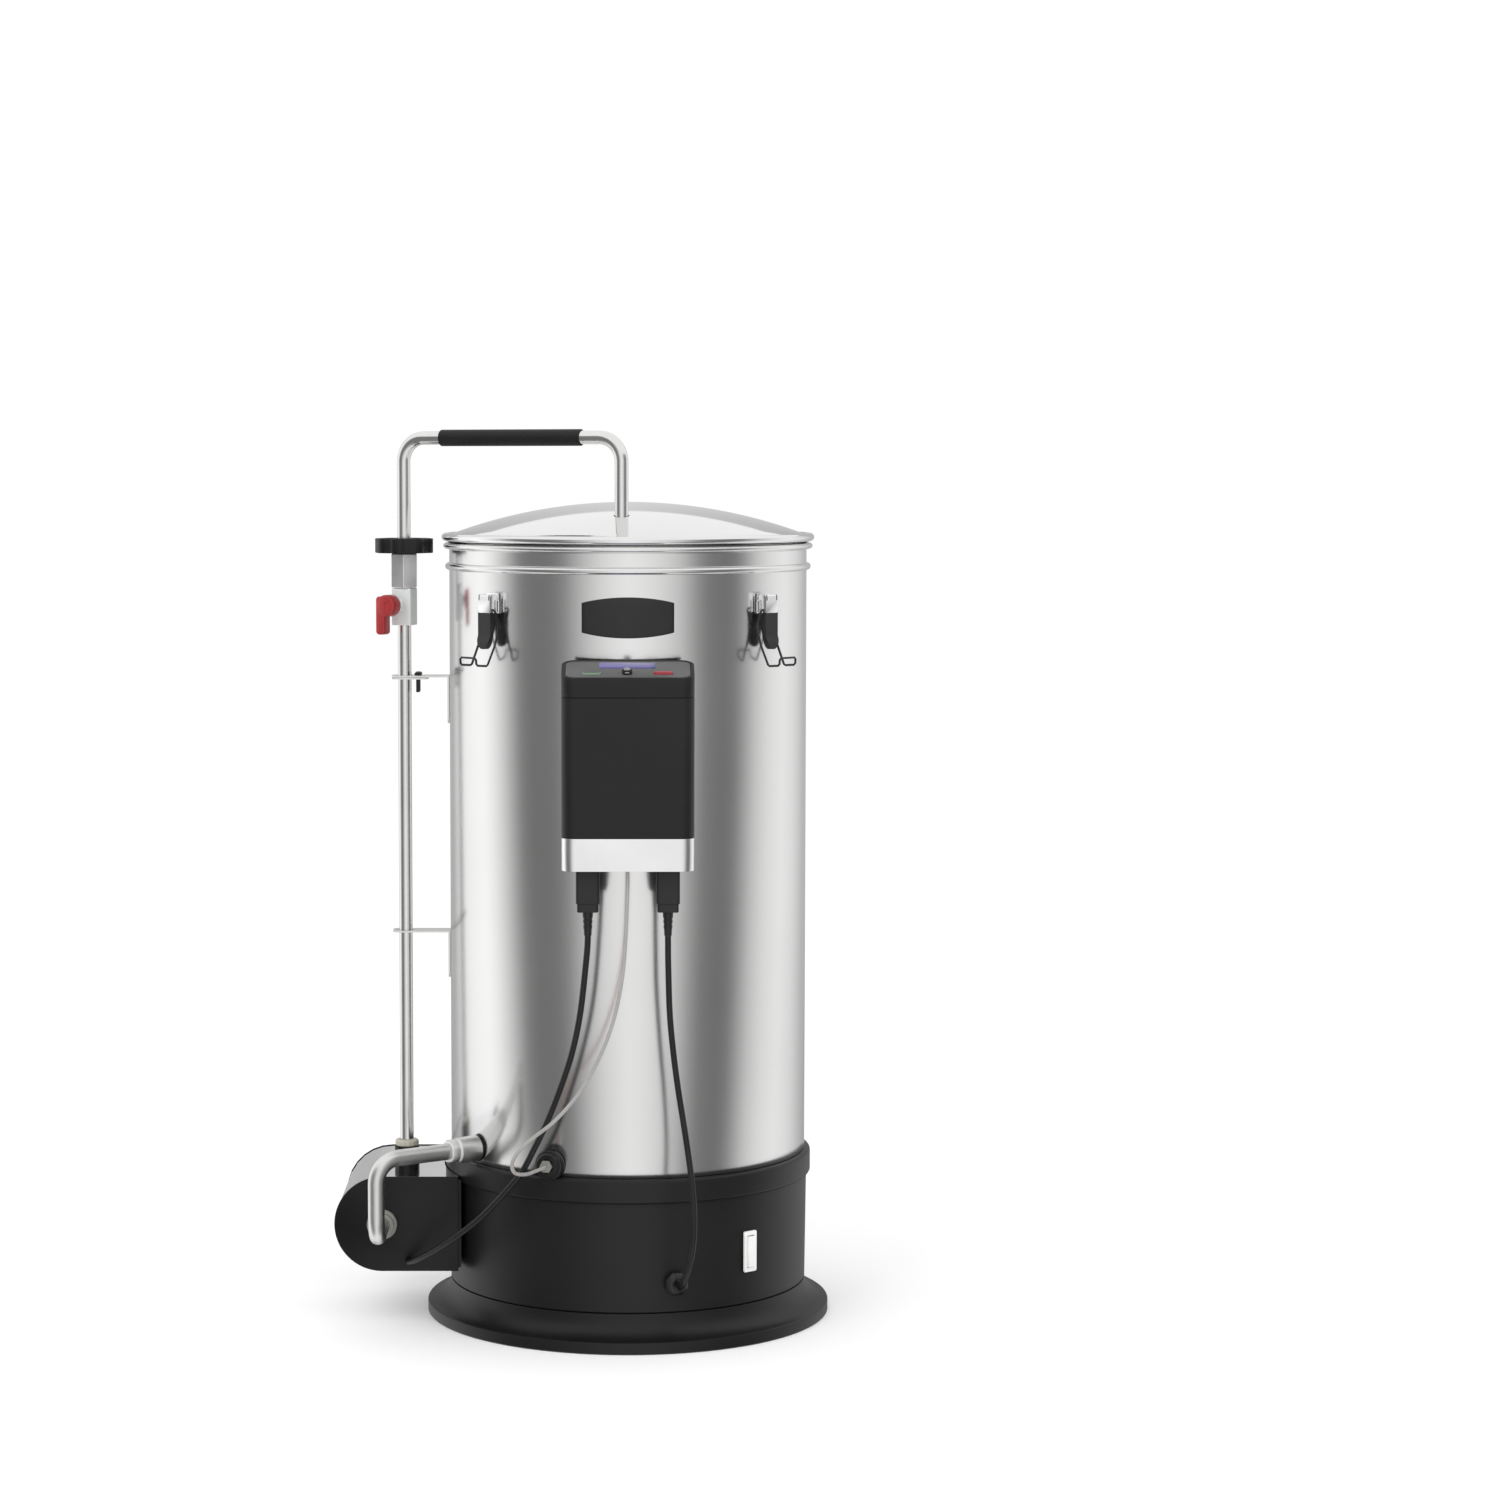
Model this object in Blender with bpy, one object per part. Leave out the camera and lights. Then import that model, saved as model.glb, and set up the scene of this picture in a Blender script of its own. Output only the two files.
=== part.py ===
"""Electric all in one brewer: a steel kettle on a heated base, with a grain
basket, a side pump with a riser and a return pipe, and a clip-on controller.

Metres, +Z up. The origin is the centre of the base on the floor, the front of
the kettle faces -Y, and the pump and the riser stand on the -X side.
"""
import math

import bmesh
import bpy
from mathutils import Matrix, Vector

# ---- driving sizes --------------------------------------------------------
GAP = 0.0003                   # clearance between pieces that touch
SIDES = 32                     # facets round the large turned pieces

KETTLE_RADIUS = 0.155
KETTLE_HEIGHT = 0.5292         # from the top of the base to the top of the rim
KETTLE_WALL = 0.0012
SPIGOT_INSET = 0.0025          # the kettle's foot is this much slimmer
SPIGOT_DEPTH = 0.017           # and sits this deep in the base

BASE_HEIGHT = 0.1445
FOOT_FLARE = 0.021             # the foot ring, out from the kettle wall
FOOT_EDGE = 0.0104
SEAM_HEIGHT = 0.030            # where the foot ring meets the skirt
SKIRT_WALL = 0.003
COLLAR_DROP = 0.021            # height of the collar round the top of the base
COLLAR_PROUD = 0.005

BASKET_INSET = 0.015           # the basket is this much slimmer than the kettle
BASKET_TOP_DROP = 0.0337       # and ends this far below the rim
TOP_PLATE_DROP = 0.080         # height of basket left over the top plate
BASKET_WALL = 0.001
BASKET_FLOOR_CLEARANCE = 0.0513
OVERFLOW_RADIUS = 0.0122

DOME_CURVE = 0.440             # radius of the lid's dome

PIPE_STANDOFF = 0.0393         # riser axis, out from the kettle wall
PIPE_RADIUS = 0.00575
PIPE_WALL = 0.001
RISER_RADIUS = 0.0059
RETURN_X = -0.0053             # where the return pipe goes down into the lid
RETURN_Y = -0.095              # in front of the lid's centre
RETURN_RISE = 0.0899           # return bar's axis, above the kettle's rim
RETURN_BEND = 0.0205
GRIP_LENGTH = 0.136
GRIP_RADIUS = 0.0071

VALVE_HEIGHT = 0.032
HEX_FLATS = 0.0216
HEX_HEIGHT = 0.030
KNOB_RADIUS = 0.026
KNOB_HEIGHT = 0.0127
KNOB_TOP_BELOW_BAR = 0.0866
STEM_AZIMUTH = -30.0
LEVER_REACH = 0.025
LEVER_LENGTH = 0.025

UPPER_BRACKET_SHARE = 0.7814   # share of the kettle height, up from the base
LOWER_BRACKET_SHARE = 0.3600
SHEET = 0.0015

PUMP_FRONT = -0.075
PUMP_BACK = 0.072
PUMP_BOTTOM = 0.0483
PUMP_HEIGHT = 0.0823
PUMP_OFFSET = 0.0172           # pump axis, out from the riser axis
INLET_RADIUS = 0.0070
INLET_FORWARD = 0.0675         # vertical leg, in front of the pump's front plate
INLET_BEND = 0.020
OUTLET_Z = 0.158

CONTROL_WIDTH = 0.109
CONTROL_FRONT = 0.048          # front face, out from the kettle wall
CONTROL_DEPTH = 0.046
CONTROL_SHARE = 0.4998         # controller's underside, share of the kettle height
CONTROL_BAND = 0.027
CONTROL_SEAM_RISE = 0.1425     # joint under the cap, over the underside
CONTROL_RISE = 0.1585          # top of the front face, over the underside
CONTROL_SLOPE = math.radians(15.2)
CONTROL_CORNER = 0.011
CONTROL_WALL = 0.0025
BUTTON_TRAVEL = 0.001

PLUG_WIDTH = 0.0196
PLUG_LENGTH = 0.035
PLUG_SPACING = 0.0661
CORD_RADIUS = 0.0026
SENSOR_CORD_RADIUS = 0.0016

LATCH_AZIMUTH = 46.5
LATCH_DROP = 0.0457            # latch pivot, below the rim
SENSOR_AZIMUTH = -24.6
SENSOR_Z = 0.1544
GLAND_AZIMUTH = 14.7
GLAND_Z = 0.0560
SWITCH_AZIMUTH = 40.9
SWITCH_Z = 0.0758

# ---- sizes worked out from them -------------------------------------------
RIM_Z = BASE_HEIGHT + KETTLE_HEIGHT
FOOT_RADIUS = KETTLE_RADIUS + FOOT_FLARE
BASKET_RADIUS = KETTLE_RADIUS - BASKET_INSET
UPPER_BRACKET_Z = BASE_HEIGHT + UPPER_BRACKET_SHARE * KETTLE_HEIGHT
LOWER_BRACKET_Z = BASE_HEIGHT + LOWER_BRACKET_SHARE * KETTLE_HEIGHT
PUMP_TOP = PUMP_BOTTOM + PUMP_HEIGHT
CONTROL_BOTTOM = BASE_HEIGHT + CONTROL_SHARE * KETTLE_HEIGHT
CONTROL_SEAM = CONTROL_BOTTOM + CONTROL_SEAM_RISE
CONTROL_TOP = CONTROL_BOTTOM + CONTROL_RISE
LATCH_PIVOT_Z = RIM_Z - LATCH_DROP
SPIGOT_RADIUS = KETTLE_RADIUS - SPIGOT_INSET
SPIGOT_Z = BASE_HEIGHT - SPIGOT_DEPTH
FLOOR_Z = SPIGOT_Z + KETTLE_WALL
COLLAR_RADIUS = KETTLE_RADIUS + COLLAR_PROUD
SKIRT_RADIUS = KETTLE_RADIUS + 0.0005
SKIRT_INNER = SKIRT_RADIUS - SKIRT_WALL
BASKET_Z = FLOOR_Z + BASKET_FLOOR_CLEARANCE
BASKET_HEIGHT = RIM_Z - BASKET_TOP_DROP - BASKET_Z
TOP_PLATE_RISE = BASKET_HEIGHT - TOP_PLATE_DROP
RISER_X = -(KETTLE_RADIUS + PIPE_STANDOFF)
BAR_Z = RIM_Z + RETURN_RISE
KNOB_TOP = BAR_Z - KNOB_TOP_BELOW_BAR
HEX_TOP = KNOB_TOP - KNOB_HEIGHT - GAP
VALVE_TOP = HEX_TOP - HEX_HEIGHT - GAP
VALVE_BOTTOM = VALVE_TOP - VALVE_HEIGHT
VALVE_Z = VALVE_BOTTOM + 0.55 * VALVE_HEIGHT
PUMP_X = RISER_X - PUMP_OFFSET
PUMP_Z = 0.5 * (PUMP_TOP + PUMP_BOTTOM)
PUMP_ARC = 0.5 * (PUMP_TOP - PUMP_BOTTOM)
HUG_RADIUS = COLLAR_RADIUS + 0.0011
PUMP_RIGHT = -0.0011 - math.sqrt(HUG_RADIUS ** 2 - (PUMP_BACK - SHEET) ** 2)
BOSS_TOP = PUMP_TOP + 0.013
INLET_Y = PUMP_FRONT - INLET_FORWARD
INLET_AZIMUTH = math.degrees(math.atan2(PUMP_X, -INLET_Y))
CONTROL_Y = -(KETTLE_RADIUS + CONTROL_FRONT)
CONTROL_BACK = CONTROL_Y + CONTROL_DEPTH


# ---- materials ------------------------------------------------------------
def finish(name, colour, metallic, roughness):
    """A Principled material with one plain colour."""
    material = bpy.data.materials.new(name)
    material.use_nodes = True
    shader = material.node_tree.nodes["Principled BSDF"]
    shader.inputs["Base Color"].default_value = (*colour, 1.0)
    shader.inputs["Metallic"].default_value = metallic
    shader.inputs["Roughness"].default_value = roughness
    material.diffuse_color = (*colour, 1.0)
    return material


FINISHES = {
    "steel": ((0.80, 0.80, 0.80), 1.0, 0.10),
    "chrome": ((0.85, 0.85, 0.86), 1.0, 0.06),
    "aluminium": ((0.78, 0.78, 0.80), 1.0, 0.20),
    "black_plastic": ((0.025, 0.025, 0.027), 0.0, 0.40),
    "grey_panel": ((0.12, 0.12, 0.12), 0.0, 0.45),
    "black_rubber": ((0.015, 0.015, 0.015), 0.0, 0.70),
    "white_plastic": ((0.80, 0.80, 0.80), 0.0, 0.35),
    "grey_fitting": ((0.40, 0.40, 0.37), 0.2, 0.40),
    "red_coat": ((0.40, 0.02, 0.02), 0.0, 0.40),
    "green_rim": ((0.20, 0.35, 0.22), 0.0, 0.40),
    "lcd": ((0.22, 0.20, 0.50), 0.0, 0.20),
    "heater_metal": ((0.30, 0.27, 0.24), 1.0, 0.40),
    "board_green": ((0.02, 0.12, 0.05), 0.0, 0.50),
    "silicone": ((0.75, 0.74, 0.70), 0.0, 0.60),
}


# ---- modelling helpers ----------------------------------------------------
def finished_object(name, mesh, coat, place=None):
    """Link a mesh as a named object with its own material, shaded smooth."""
    obj = bpy.data.objects.new(name, mesh)
    bpy.context.collection.objects.link(obj)
    if place is not None:
        obj.matrix_world = place
    mesh.materials.append(finish(name, *FINISHES[coat]))
    mesh.shade_smooth()
    mesh.set_sharp_from_angle(angle=math.radians(35.0))
    return obj


def close_mesh(name, bm):
    """Merge doubled points, turn the faces outwards and write the mesh."""
    bmesh.ops.remove_doubles(bm, verts=bm.verts, dist=1e-6)
    bmesh.ops.recalc_face_normals(bm, faces=bm.faces)
    mesh = bpy.data.meshes.new(name)
    bm.to_mesh(mesh)
    bm.free()
    return mesh


def turned(name, profile, coat, place=None, steps=SIDES, ring=False):
    """Turn a profile of (radius, height) points about local Z."""
    bm = bmesh.new()
    verts = [bm.verts.new((radius, 0.0, height)) for radius, height in profile]
    edges = [bm.edges.new(pair) for pair in zip(verts, verts[1:])]
    if ring:
        edges.append(bm.edges.new((verts[-1], verts[0])))
    bmesh.ops.spin(bm, geom=verts + edges, cent=(0.0, 0.0, 0.0), axis=(0.0, 0.0, 1.0),
                   angle=2.0 * math.pi, steps=steps, use_merge=True)
    return finished_object(name, close_mesh(name, bm), coat, place)


def extruded(name, outline, low, high, coat, place=None):
    """Extrude a flat outline of (x, y) points along local Z."""
    bm = bmesh.new()
    face = bm.faces.new([bm.verts.new((x, y, low)) for x, y in outline])
    grown = bmesh.ops.extrude_face_region(bm, geom=[face])["geom"]
    top = [item for item in grown if isinstance(item, bmesh.types.BMVert)]
    bmesh.ops.translate(bm, verts=top, vec=(0.0, 0.0, high - low))
    return finished_object(name, close_mesh(name, bm), coat, place)


def block(name, low, high, coat, place=None):
    """A box between two corners."""
    outline = [(low[0], low[1]), (high[0], low[1]), (high[0], high[1]), (low[0], high[1])]
    return extruded(name, outline, low[2], high[2], coat, place)


def rod(name, radius, low, high, coat="steel", place=None, steps=16):
    """A plain cylinder along local Z."""
    return turned(name, [(0.0, low), (radius, low), (radius, high), (0.0, high)], coat, place, steps)


def tube(name, path, outer, inner, coat, sides=8):
    """Sweep a round section along a path of points; a wire has no inner radius."""
    bm = bmesh.new()
    points = [Vector(point) for point in path]
    side = Vector((0.0, 0.0, 0.0))
    rings = []
    for index, point in enumerate(points):
        ahead = points[min(index + 1, len(points) - 1)] - points[max(index - 1, 0)]
        ahead.normalize()
        if index == 0:
            side = ahead.orthogonal().normalized()
        side = (side - ahead * side.dot(ahead)).normalized()
        other = ahead.cross(side)
        turns = [2.0 * math.pi * k / sides for k in range(sides)]
        rings.append([[bm.verts.new(point + radius * (math.cos(t) * side + math.sin(t) * other))
                       for t in turns] for radius in (outer, inner) if radius])
    for before, after in zip(rings, rings[1:]):
        for wall in range(len(before)):
            for k in range(sides):
                n = (k + 1) % sides
                bm.faces.new((before[wall][k], before[wall][n], after[wall][n], after[wall][k]))
    for end in (rings[0], rings[-1]):
        if not inner:
            bm.faces.new(end[0])
            continue
        for k in range(sides):
            n = (k + 1) % sides
            bm.faces.new((end[0][k], end[0][n], end[1][n], end[1][k]))
    return finished_object(name, close_mesh(name, bm), coat)


def bent_path(corners, bend, steps=5):
    """Straight runs between corners, with each corner rounded to a radius."""
    corners = [Vector(corner) for corner in corners]
    path = [corners[0]]
    for before, corner, after in zip(corners, corners[1:], corners[2:]):
        to_start = (before - corner).normalized()
        to_end = (after - corner).normalized()
        half = 0.5 * to_start.angle(to_end)
        centre = corner + (to_start + to_end).normalized() * (bend / math.sin(half))
        first = corner + to_start * (bend / math.tan(half)) - centre
        last = corner + to_end * (bend / math.tan(half)) - centre
        sweep = first.angle(last)
        for step in range(steps + 1):
            t = step / steps
            blend = (math.sin((1.0 - t) * sweep) * first + math.sin(t * sweep) * last) / math.sin(sweep)
            path.append(centre + blend)
    path.append(corners[-1])
    return path


def wire(name, points, radius, coat, resolution=2):
    """A cord: a smooth curve read through its own points, as a filled round tube."""
    points = [Vector(point) for point in points]
    ends = [2.0 * points[0] - points[1]] + points + [2.0 * points[-1] - points[-2]]
    route = [points[0]]
    for p0, p1, p2, p3 in zip(ends, ends[1:], ends[2:], ends[3:]):
        count = max(1, round((p2 - p1).length / (5.5 * radius)))
        for step in range(1, count + 1):
            t = step / count
            route.append(0.5 * (2.0 * p1 + (p2 - p0) * t + (2.0 * p0 - 5.0 * p1 + 4.0 * p2 - p3) * t ** 2
                                + (3.0 * p1 - p0 - 3.0 * p2 + p3) * t ** 3))
    curve = bpy.data.curves.new(name, "CURVE")
    curve.dimensions = "3D"
    curve.bevel_depth = radius
    curve.bevel_resolution = resolution
    curve.use_fill_caps = True
    spline = curve.splines.new("POLY")
    spline.points.add(len(route) - 1)
    for point, place in zip(spline.points, route):
        point.co = (*place, 1.0)
    obj = bpy.data.objects.new(name, curve)
    bpy.context.collection.objects.link(obj)
    curve.materials.append(finish(name, *FINISHES[coat]))
    return obj


def tool_of(obj):
    """Mark an object as a tool for a Boolean, not a piece."""
    obj.hide_render = True
    obj.display_type = "WIRE"
    return obj


def cut(piece, cutter):
    """Take a cutter away from a piece."""
    modifier = piece.modifiers.new("cut", "BOOLEAN")
    modifier.operation = "DIFFERENCE"
    modifier.solver = "EXACT"
    modifier.object = tool_of(cutter)
    return piece


def weld(piece, other):
    """Join another shape to a piece as one solid."""
    modifier = piece.modifiers.new("weld", "BOOLEAN")
    modifier.operation = "UNION"
    modifier.solver = "EXACT"
    modifier.object = tool_of(other)
    return piece


def outward(azimuth, radius, height):
    """A frame on the kettle's side: X along the wall, Y up, Z straight out.

    The azimuth is in degrees from the front, positive towards +X.
    """
    a = math.radians(azimuth)
    frame = Matrix(((math.cos(a), 0.0, math.sin(a)),
                    (math.sin(a), 0.0, -math.cos(a)),
                    (0.0, 1.0, 0.0))).to_4x4()
    frame.translation = (radius * math.sin(a), -radius * math.cos(a), height)
    return frame


def facing_front(x=0.0, y=0.0, z=0.0):
    """A frame with X to the right, Y up and Z towards the front."""
    frame = outward(0.0, 0.0, 0.0)
    frame.translation = (x, y, z)
    return frame


def at(x=0.0, y=0.0, z=0.0):
    return Matrix.Translation((x, y, z))


def arc(centre, radius, start, end, steps):
    """Points along an arc, angles in degrees."""
    turns = [math.radians(start + (end - start) * k / steps) for k in range(steps + 1)]
    return [(centre[0] + radius * math.cos(t), centre[1] + radius * math.sin(t)) for t in turns]


def rounded_outline(width, height, corner, steps=4):
    """A rectangle with round corners, centred on the origin."""
    x = 0.5 * width - corner
    y = 0.5 * height - corner
    outline = []
    for centre, start in (((x, y), 0.0), ((-x, y), 90.0), ((-x, -y), 180.0), ((x, -y), 270.0)):
        outline += arc(centre, corner, start, start + 90.0, steps)
    return outline


def bead(radius, low, high, bulge, steps=2):
    """A rolled bead on a vertical wall, from low to high."""
    middle = 0.5 * (low + high)
    half = 0.5 * (high - low)
    turns = [math.pi * (k / steps - 0.5) for k in range(steps + 1)]
    return [(radius + bulge * math.cos(t), middle + half * math.sin(t)) for t in turns]


# ---- base -----------------------------------------------------------------
BASE_PLATE_RADIUS = SKIRT_INNER + 0.004
BASE_PLATE_THICKNESS = 0.004


def foot_ring():
    edge = FOOT_RADIUS - 0.0012
    reach = edge - SKIRT_RADIUS
    rise = SEAM_HEIGHT - FOOT_EDGE
    turns = [math.radians(90.0 * k / 4) for k in range(5)]
    flare = [(edge - reach * math.sin(t), SEAM_HEIGHT - rise * math.cos(t)) for t in turns]
    shelf = BASE_PLATE_THICKNESS + GAP
    turned("foot_ring", [
        (BASE_PLATE_RADIUS + GAP, 0.0), (FOOT_RADIUS, 0.0), (FOOT_RADIUS, FOOT_EDGE - 0.0012), *flare,
        (SKIRT_INNER, SEAM_HEIGHT), (SKIRT_INNER, shelf + 0.003), (SKIRT_INNER - 0.008, shelf + 0.003),
        (SKIRT_INNER - 0.008, shelf), (BASE_PLATE_RADIUS + GAP, shelf)], "black_plastic", ring=True)


def base_plate():
    rod("base_plate", BASE_PLATE_RADIUS, 0.0, BASE_PLATE_THICKNESS, "black_plastic", steps=SIDES)


def base_skirt():
    low = SEAM_HEIGHT + 2.0 * GAP
    collar = BASE_HEIGHT - COLLAR_DROP
    socket = SPIGOT_RADIUS + 0.0006
    ledge = SPIGOT_Z - GAP
    skirt = turned("base_skirt", [
        (SKIRT_INNER, low), (SKIRT_RADIUS - 0.0006, low), (SKIRT_RADIUS, low + 0.0008),
        (SKIRT_RADIUS + 0.0012, collar), (COLLAR_RADIUS - 0.001, collar + 0.001),
        (COLLAR_RADIUS, collar + 0.004), (COLLAR_RADIUS, BASE_HEIGHT - 0.005),
        (COLLAR_RADIUS - 0.0010, BASE_HEIGHT - 0.0018), (COLLAR_RADIUS - 0.0032, BASE_HEIGHT),
        (socket, BASE_HEIGHT), (socket, ledge), (socket - 0.006, ledge),
        (socket - 0.006, ledge - 0.003), (SKIRT_INNER, ledge - 0.007)], "black_plastic", ring=True)
    cut(skirt, block("switch_cutter", (-SWITCH_WIDTH / 2 - GAP, -SWITCH_LENGTH / 2 - GAP, -0.012),
                     (SWITCH_WIDTH / 2 + GAP, SWITCH_LENGTH / 2 + GAP, 0.010), "steel", SWITCH_FRAME))
    cut(skirt, rod("gland_cutter", GLAND_STEM + GAP, -0.012, 0.010, place=GLAND_FRAME))
    cut(skirt, rod("boss_cutter", BOSS_RADIUS + GAP, -0.005, 0.020, place=SENSOR_FRAME, steps=16))


SWITCH_WIDTH = 0.0105
SWITCH_LENGTH = 0.0310
SWITCH_FLANGE = 0.0018
ROCKER_TILT = math.radians(7.0)
SWITCH_FRAME = outward(SWITCH_AZIMUTH, SKIRT_RADIUS + 0.0012, SWITCH_Z)


def mains_switch():
    """A framed rocker in the skirt's wall; the rocker's pivot runs along the wall."""
    frame = block("switch_frame", (-SWITCH_WIDTH / 2, -SWITCH_LENGTH / 2, -0.0145),
                  (SWITCH_WIDTH / 2, SWITCH_LENGTH / 2, SWITCH_FLANGE / 2), "white_plastic", SWITCH_FRAME)
    weld(frame, extruded("switch_flange", rounded_outline(0.0140, 0.0350, 0.0015, 2),
                         0.0006, SWITCH_FLANGE + 0.0006, "white_plastic", SWITCH_FRAME))
    cut(frame, block("switch_well", (-0.0043, -0.0138, -0.0120), (0.0043, 0.0138, 0.006),
                     "steel", SWITCH_FRAME))
    outline = [(-0.0130, 0.0026), (-0.0115, 0.0046), (0.0, 0.0026), (0.0115, 0.0046), (0.0130, 0.0026),
               (0.0095, -0.0050), (-0.0095, -0.0050)]
    sideways = SWITCH_FRAME @ Matrix.Rotation(math.radians(90.0), 4, "Z") @ Matrix.Rotation(
        math.radians(90.0), 4, "X")
    extruded("rocker_switch", outline, -0.0040, 0.0040, "white_plastic", sideways)


GLAND_STEM = 0.0062
GLAND_ACROSS = 0.0188
GLAND_FRAME = outward(GLAND_AZIMUTH, SKIRT_RADIUS + 0.0012, GLAND_Z)


def heater_gland():
    """An eight-sided cable gland through the skirt."""
    half_turn = math.pi / 8
    corner = 0.5 * GLAND_ACROSS / math.cos(half_turn)
    gland = turned("heater_gland", [
        (0.0, 0.0006), (corner, 0.0006), (corner, 0.0068), (corner - 0.003, 0.0092), (0.0, 0.0092)],
        "black_plastic", GLAND_FRAME @ Matrix.Rotation(half_turn, 4, "Z"), steps=8)
    weld(gland, rod("gland_stem", GLAND_STEM, -0.010, 0.004, place=GLAND_FRAME))
    cut(gland, rod("gland_bore", CORD_RADIUS + GAP, -0.013, 0.013, place=GLAND_FRAME, steps=12))


BOSS_RADIUS = 0.0130
PROBE_RADIUS = 0.0032
SENSOR_FRAME = outward(SENSOR_AZIMUTH, KETTLE_RADIUS, SENSOR_Z)


def sensor():
    """A temperature probe through the kettle wall, in a rubber grommet."""
    bore = PROBE_RADIUS + GAP
    turned("sensor_boss", [
        (bore, GAP), (BOSS_RADIUS, GAP), (BOSS_RADIUS, 0.0045), (BOSS_RADIUS - 0.001, 0.0068),
        (BOSS_RADIUS - 0.0030, 0.0082), (bore, 0.0086)], "black_rubber", SENSOR_FRAME, 16, ring=True)
    probe = rod("sensor_probe", PROBE_RADIUS, -0.030, 0.0095, "grey_fitting", SENSOR_FRAME, 12)
    weld(probe, rod("probe_nut", 0.0055, 0.0089, 0.0112, place=SENSOR_FRAME, steps=6))


def heater():
    """A ring element under the kettle floor, with two legs down to its terminals."""
    element = 0.004
    height = SPIGOT_Z - GAP - element
    ring = [(0.090 * math.cos(t), 0.090 * math.sin(t), height)
            for t in (math.radians(12.0 + 336.0 * k / 20) for k in range(21))]
    legs = [[(x, y, 0.085), (x, y, 0.100), (x, y, height - 0.004)]
            for x, y in ((ring[0][0], ring[0][1] - 0.008), (ring[-1][0], ring[-1][1] + 0.008))]
    path = legs[0] + ring + legs[1][::-1]
    tube("heating_element", path, element, 0.0, "heater_metal", 6)


# ---- kettle ---------------------------------------------------------------
BEAD_LOW = RIM_Z - 0.0237
BEAD_HIGH = RIM_Z - 0.0173
ROLL_LOW = RIM_Z - 0.0056
PORT_FRAME = outward(INLET_AZIMUTH, KETTLE_RADIUS, OUTLET_Z)
PORT_STEM = 0.0085
PORT_BORE = INLET_RADIUS + GAP


def kettle():
    """The steel vessel: spigot foot, straight wall, a bead and a rolled rim."""
    inner = KETTLE_RADIUS - KETTLE_WALL
    foot = SPIGOT_RADIUS - KETTLE_WALL
    shell = turned("kettle_shell", [
        (0.0, SPIGOT_Z), (SPIGOT_RADIUS - 0.005, SPIGOT_Z), (SPIGOT_RADIUS - 0.0015, SPIGOT_Z + 0.0012),
        (SPIGOT_RADIUS, SPIGOT_Z + 0.0045), (SPIGOT_RADIUS, BASE_HEIGHT + GAP),
        (KETTLE_RADIUS, BASE_HEIGHT + GAP + 0.0004),
        *bead(KETTLE_RADIUS, BEAD_LOW, BEAD_HIGH, 0.0036),
        *bead(KETTLE_RADIUS + 0.0012, ROLL_LOW, RIM_Z, 0.0040),
        (inner, RIM_Z), (inner, BASE_HEIGHT + 0.0012), (foot, BASE_HEIGHT - 0.0008),
        (foot, FLOOR_Z + 0.0040), (foot - 0.0015, FLOOR_Z + 0.0010), (foot - 0.005, FLOOR_Z),
        (0.0, FLOOR_Z)], "steel")
    cut(shell, rod("probe_hole", PROBE_RADIUS + GAP, -0.010, 0.010, place=SENSOR_FRAME))
    cut(shell, rod("port_hole", PORT_STEM + GAP, -0.012, 0.010, place=PORT_FRAME))


def outlet():
    """The drain port with its sleeve, and the strainer on its inner end."""
    turned("outlet_port", [
        (PORT_BORE, -0.004), (PORT_STEM, -0.004), (PORT_STEM, 0.0006), (0.0112, 0.0006), (0.0112, 0.0018),
        (0.0110, 0.0020), (0.0110, 0.0215), (0.0100, 0.0225), (0.0100, 0.0290), (0.0088, 0.0305),
        (PORT_BORE, 0.0305)], "steel", PORT_FRAME, 16, ring=True)
    turned("kettle_filter", [
        (0.0, -0.055), (0.0110, -0.055), (0.0110, -0.0044), (PORT_BORE, -0.0044), (PORT_BORE, -0.0054),
        (0.0102, -0.0054), (0.0102, -0.054), (0.0, -0.054)], "steel", PORT_FRAME, 16)


def badge():
    """A blank plate with round corners on the front of the kettle."""
    flat = at(0.0, 0.0, 0.0) @ outward(0.0, KETTLE_RADIUS - 0.006, BADGE_Z)
    plate = extruded("badge_plate", rounded_outline(BADGE_WIDTH, BADGE_HEIGHT, 0.006, 4),
                     0.0, 0.0085, "black_plastic", flat)
    cut(plate, rod("badge_hollow", KETTLE_RADIUS + GAP, BADGE_Z - 0.03, BADGE_Z + 0.03, steps=96))
    outer = turned("badge_trim", [
        (KETTLE_RADIUS + 0.0012, -0.03), (KETTLE_RADIUS + 0.02, -0.03), (KETTLE_RADIUS + 0.02, 0.03),
        (KETTLE_RADIUS + 0.0012, 0.03)], "steel", at(0.0, 0.0, BADGE_Z), 96, ring=True)
    cut(plate, outer)


BADGE_WIDTH = 0.077
BADGE_HEIGHT = 0.034
BADGE_Z = RIM_Z - 0.0592


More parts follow.
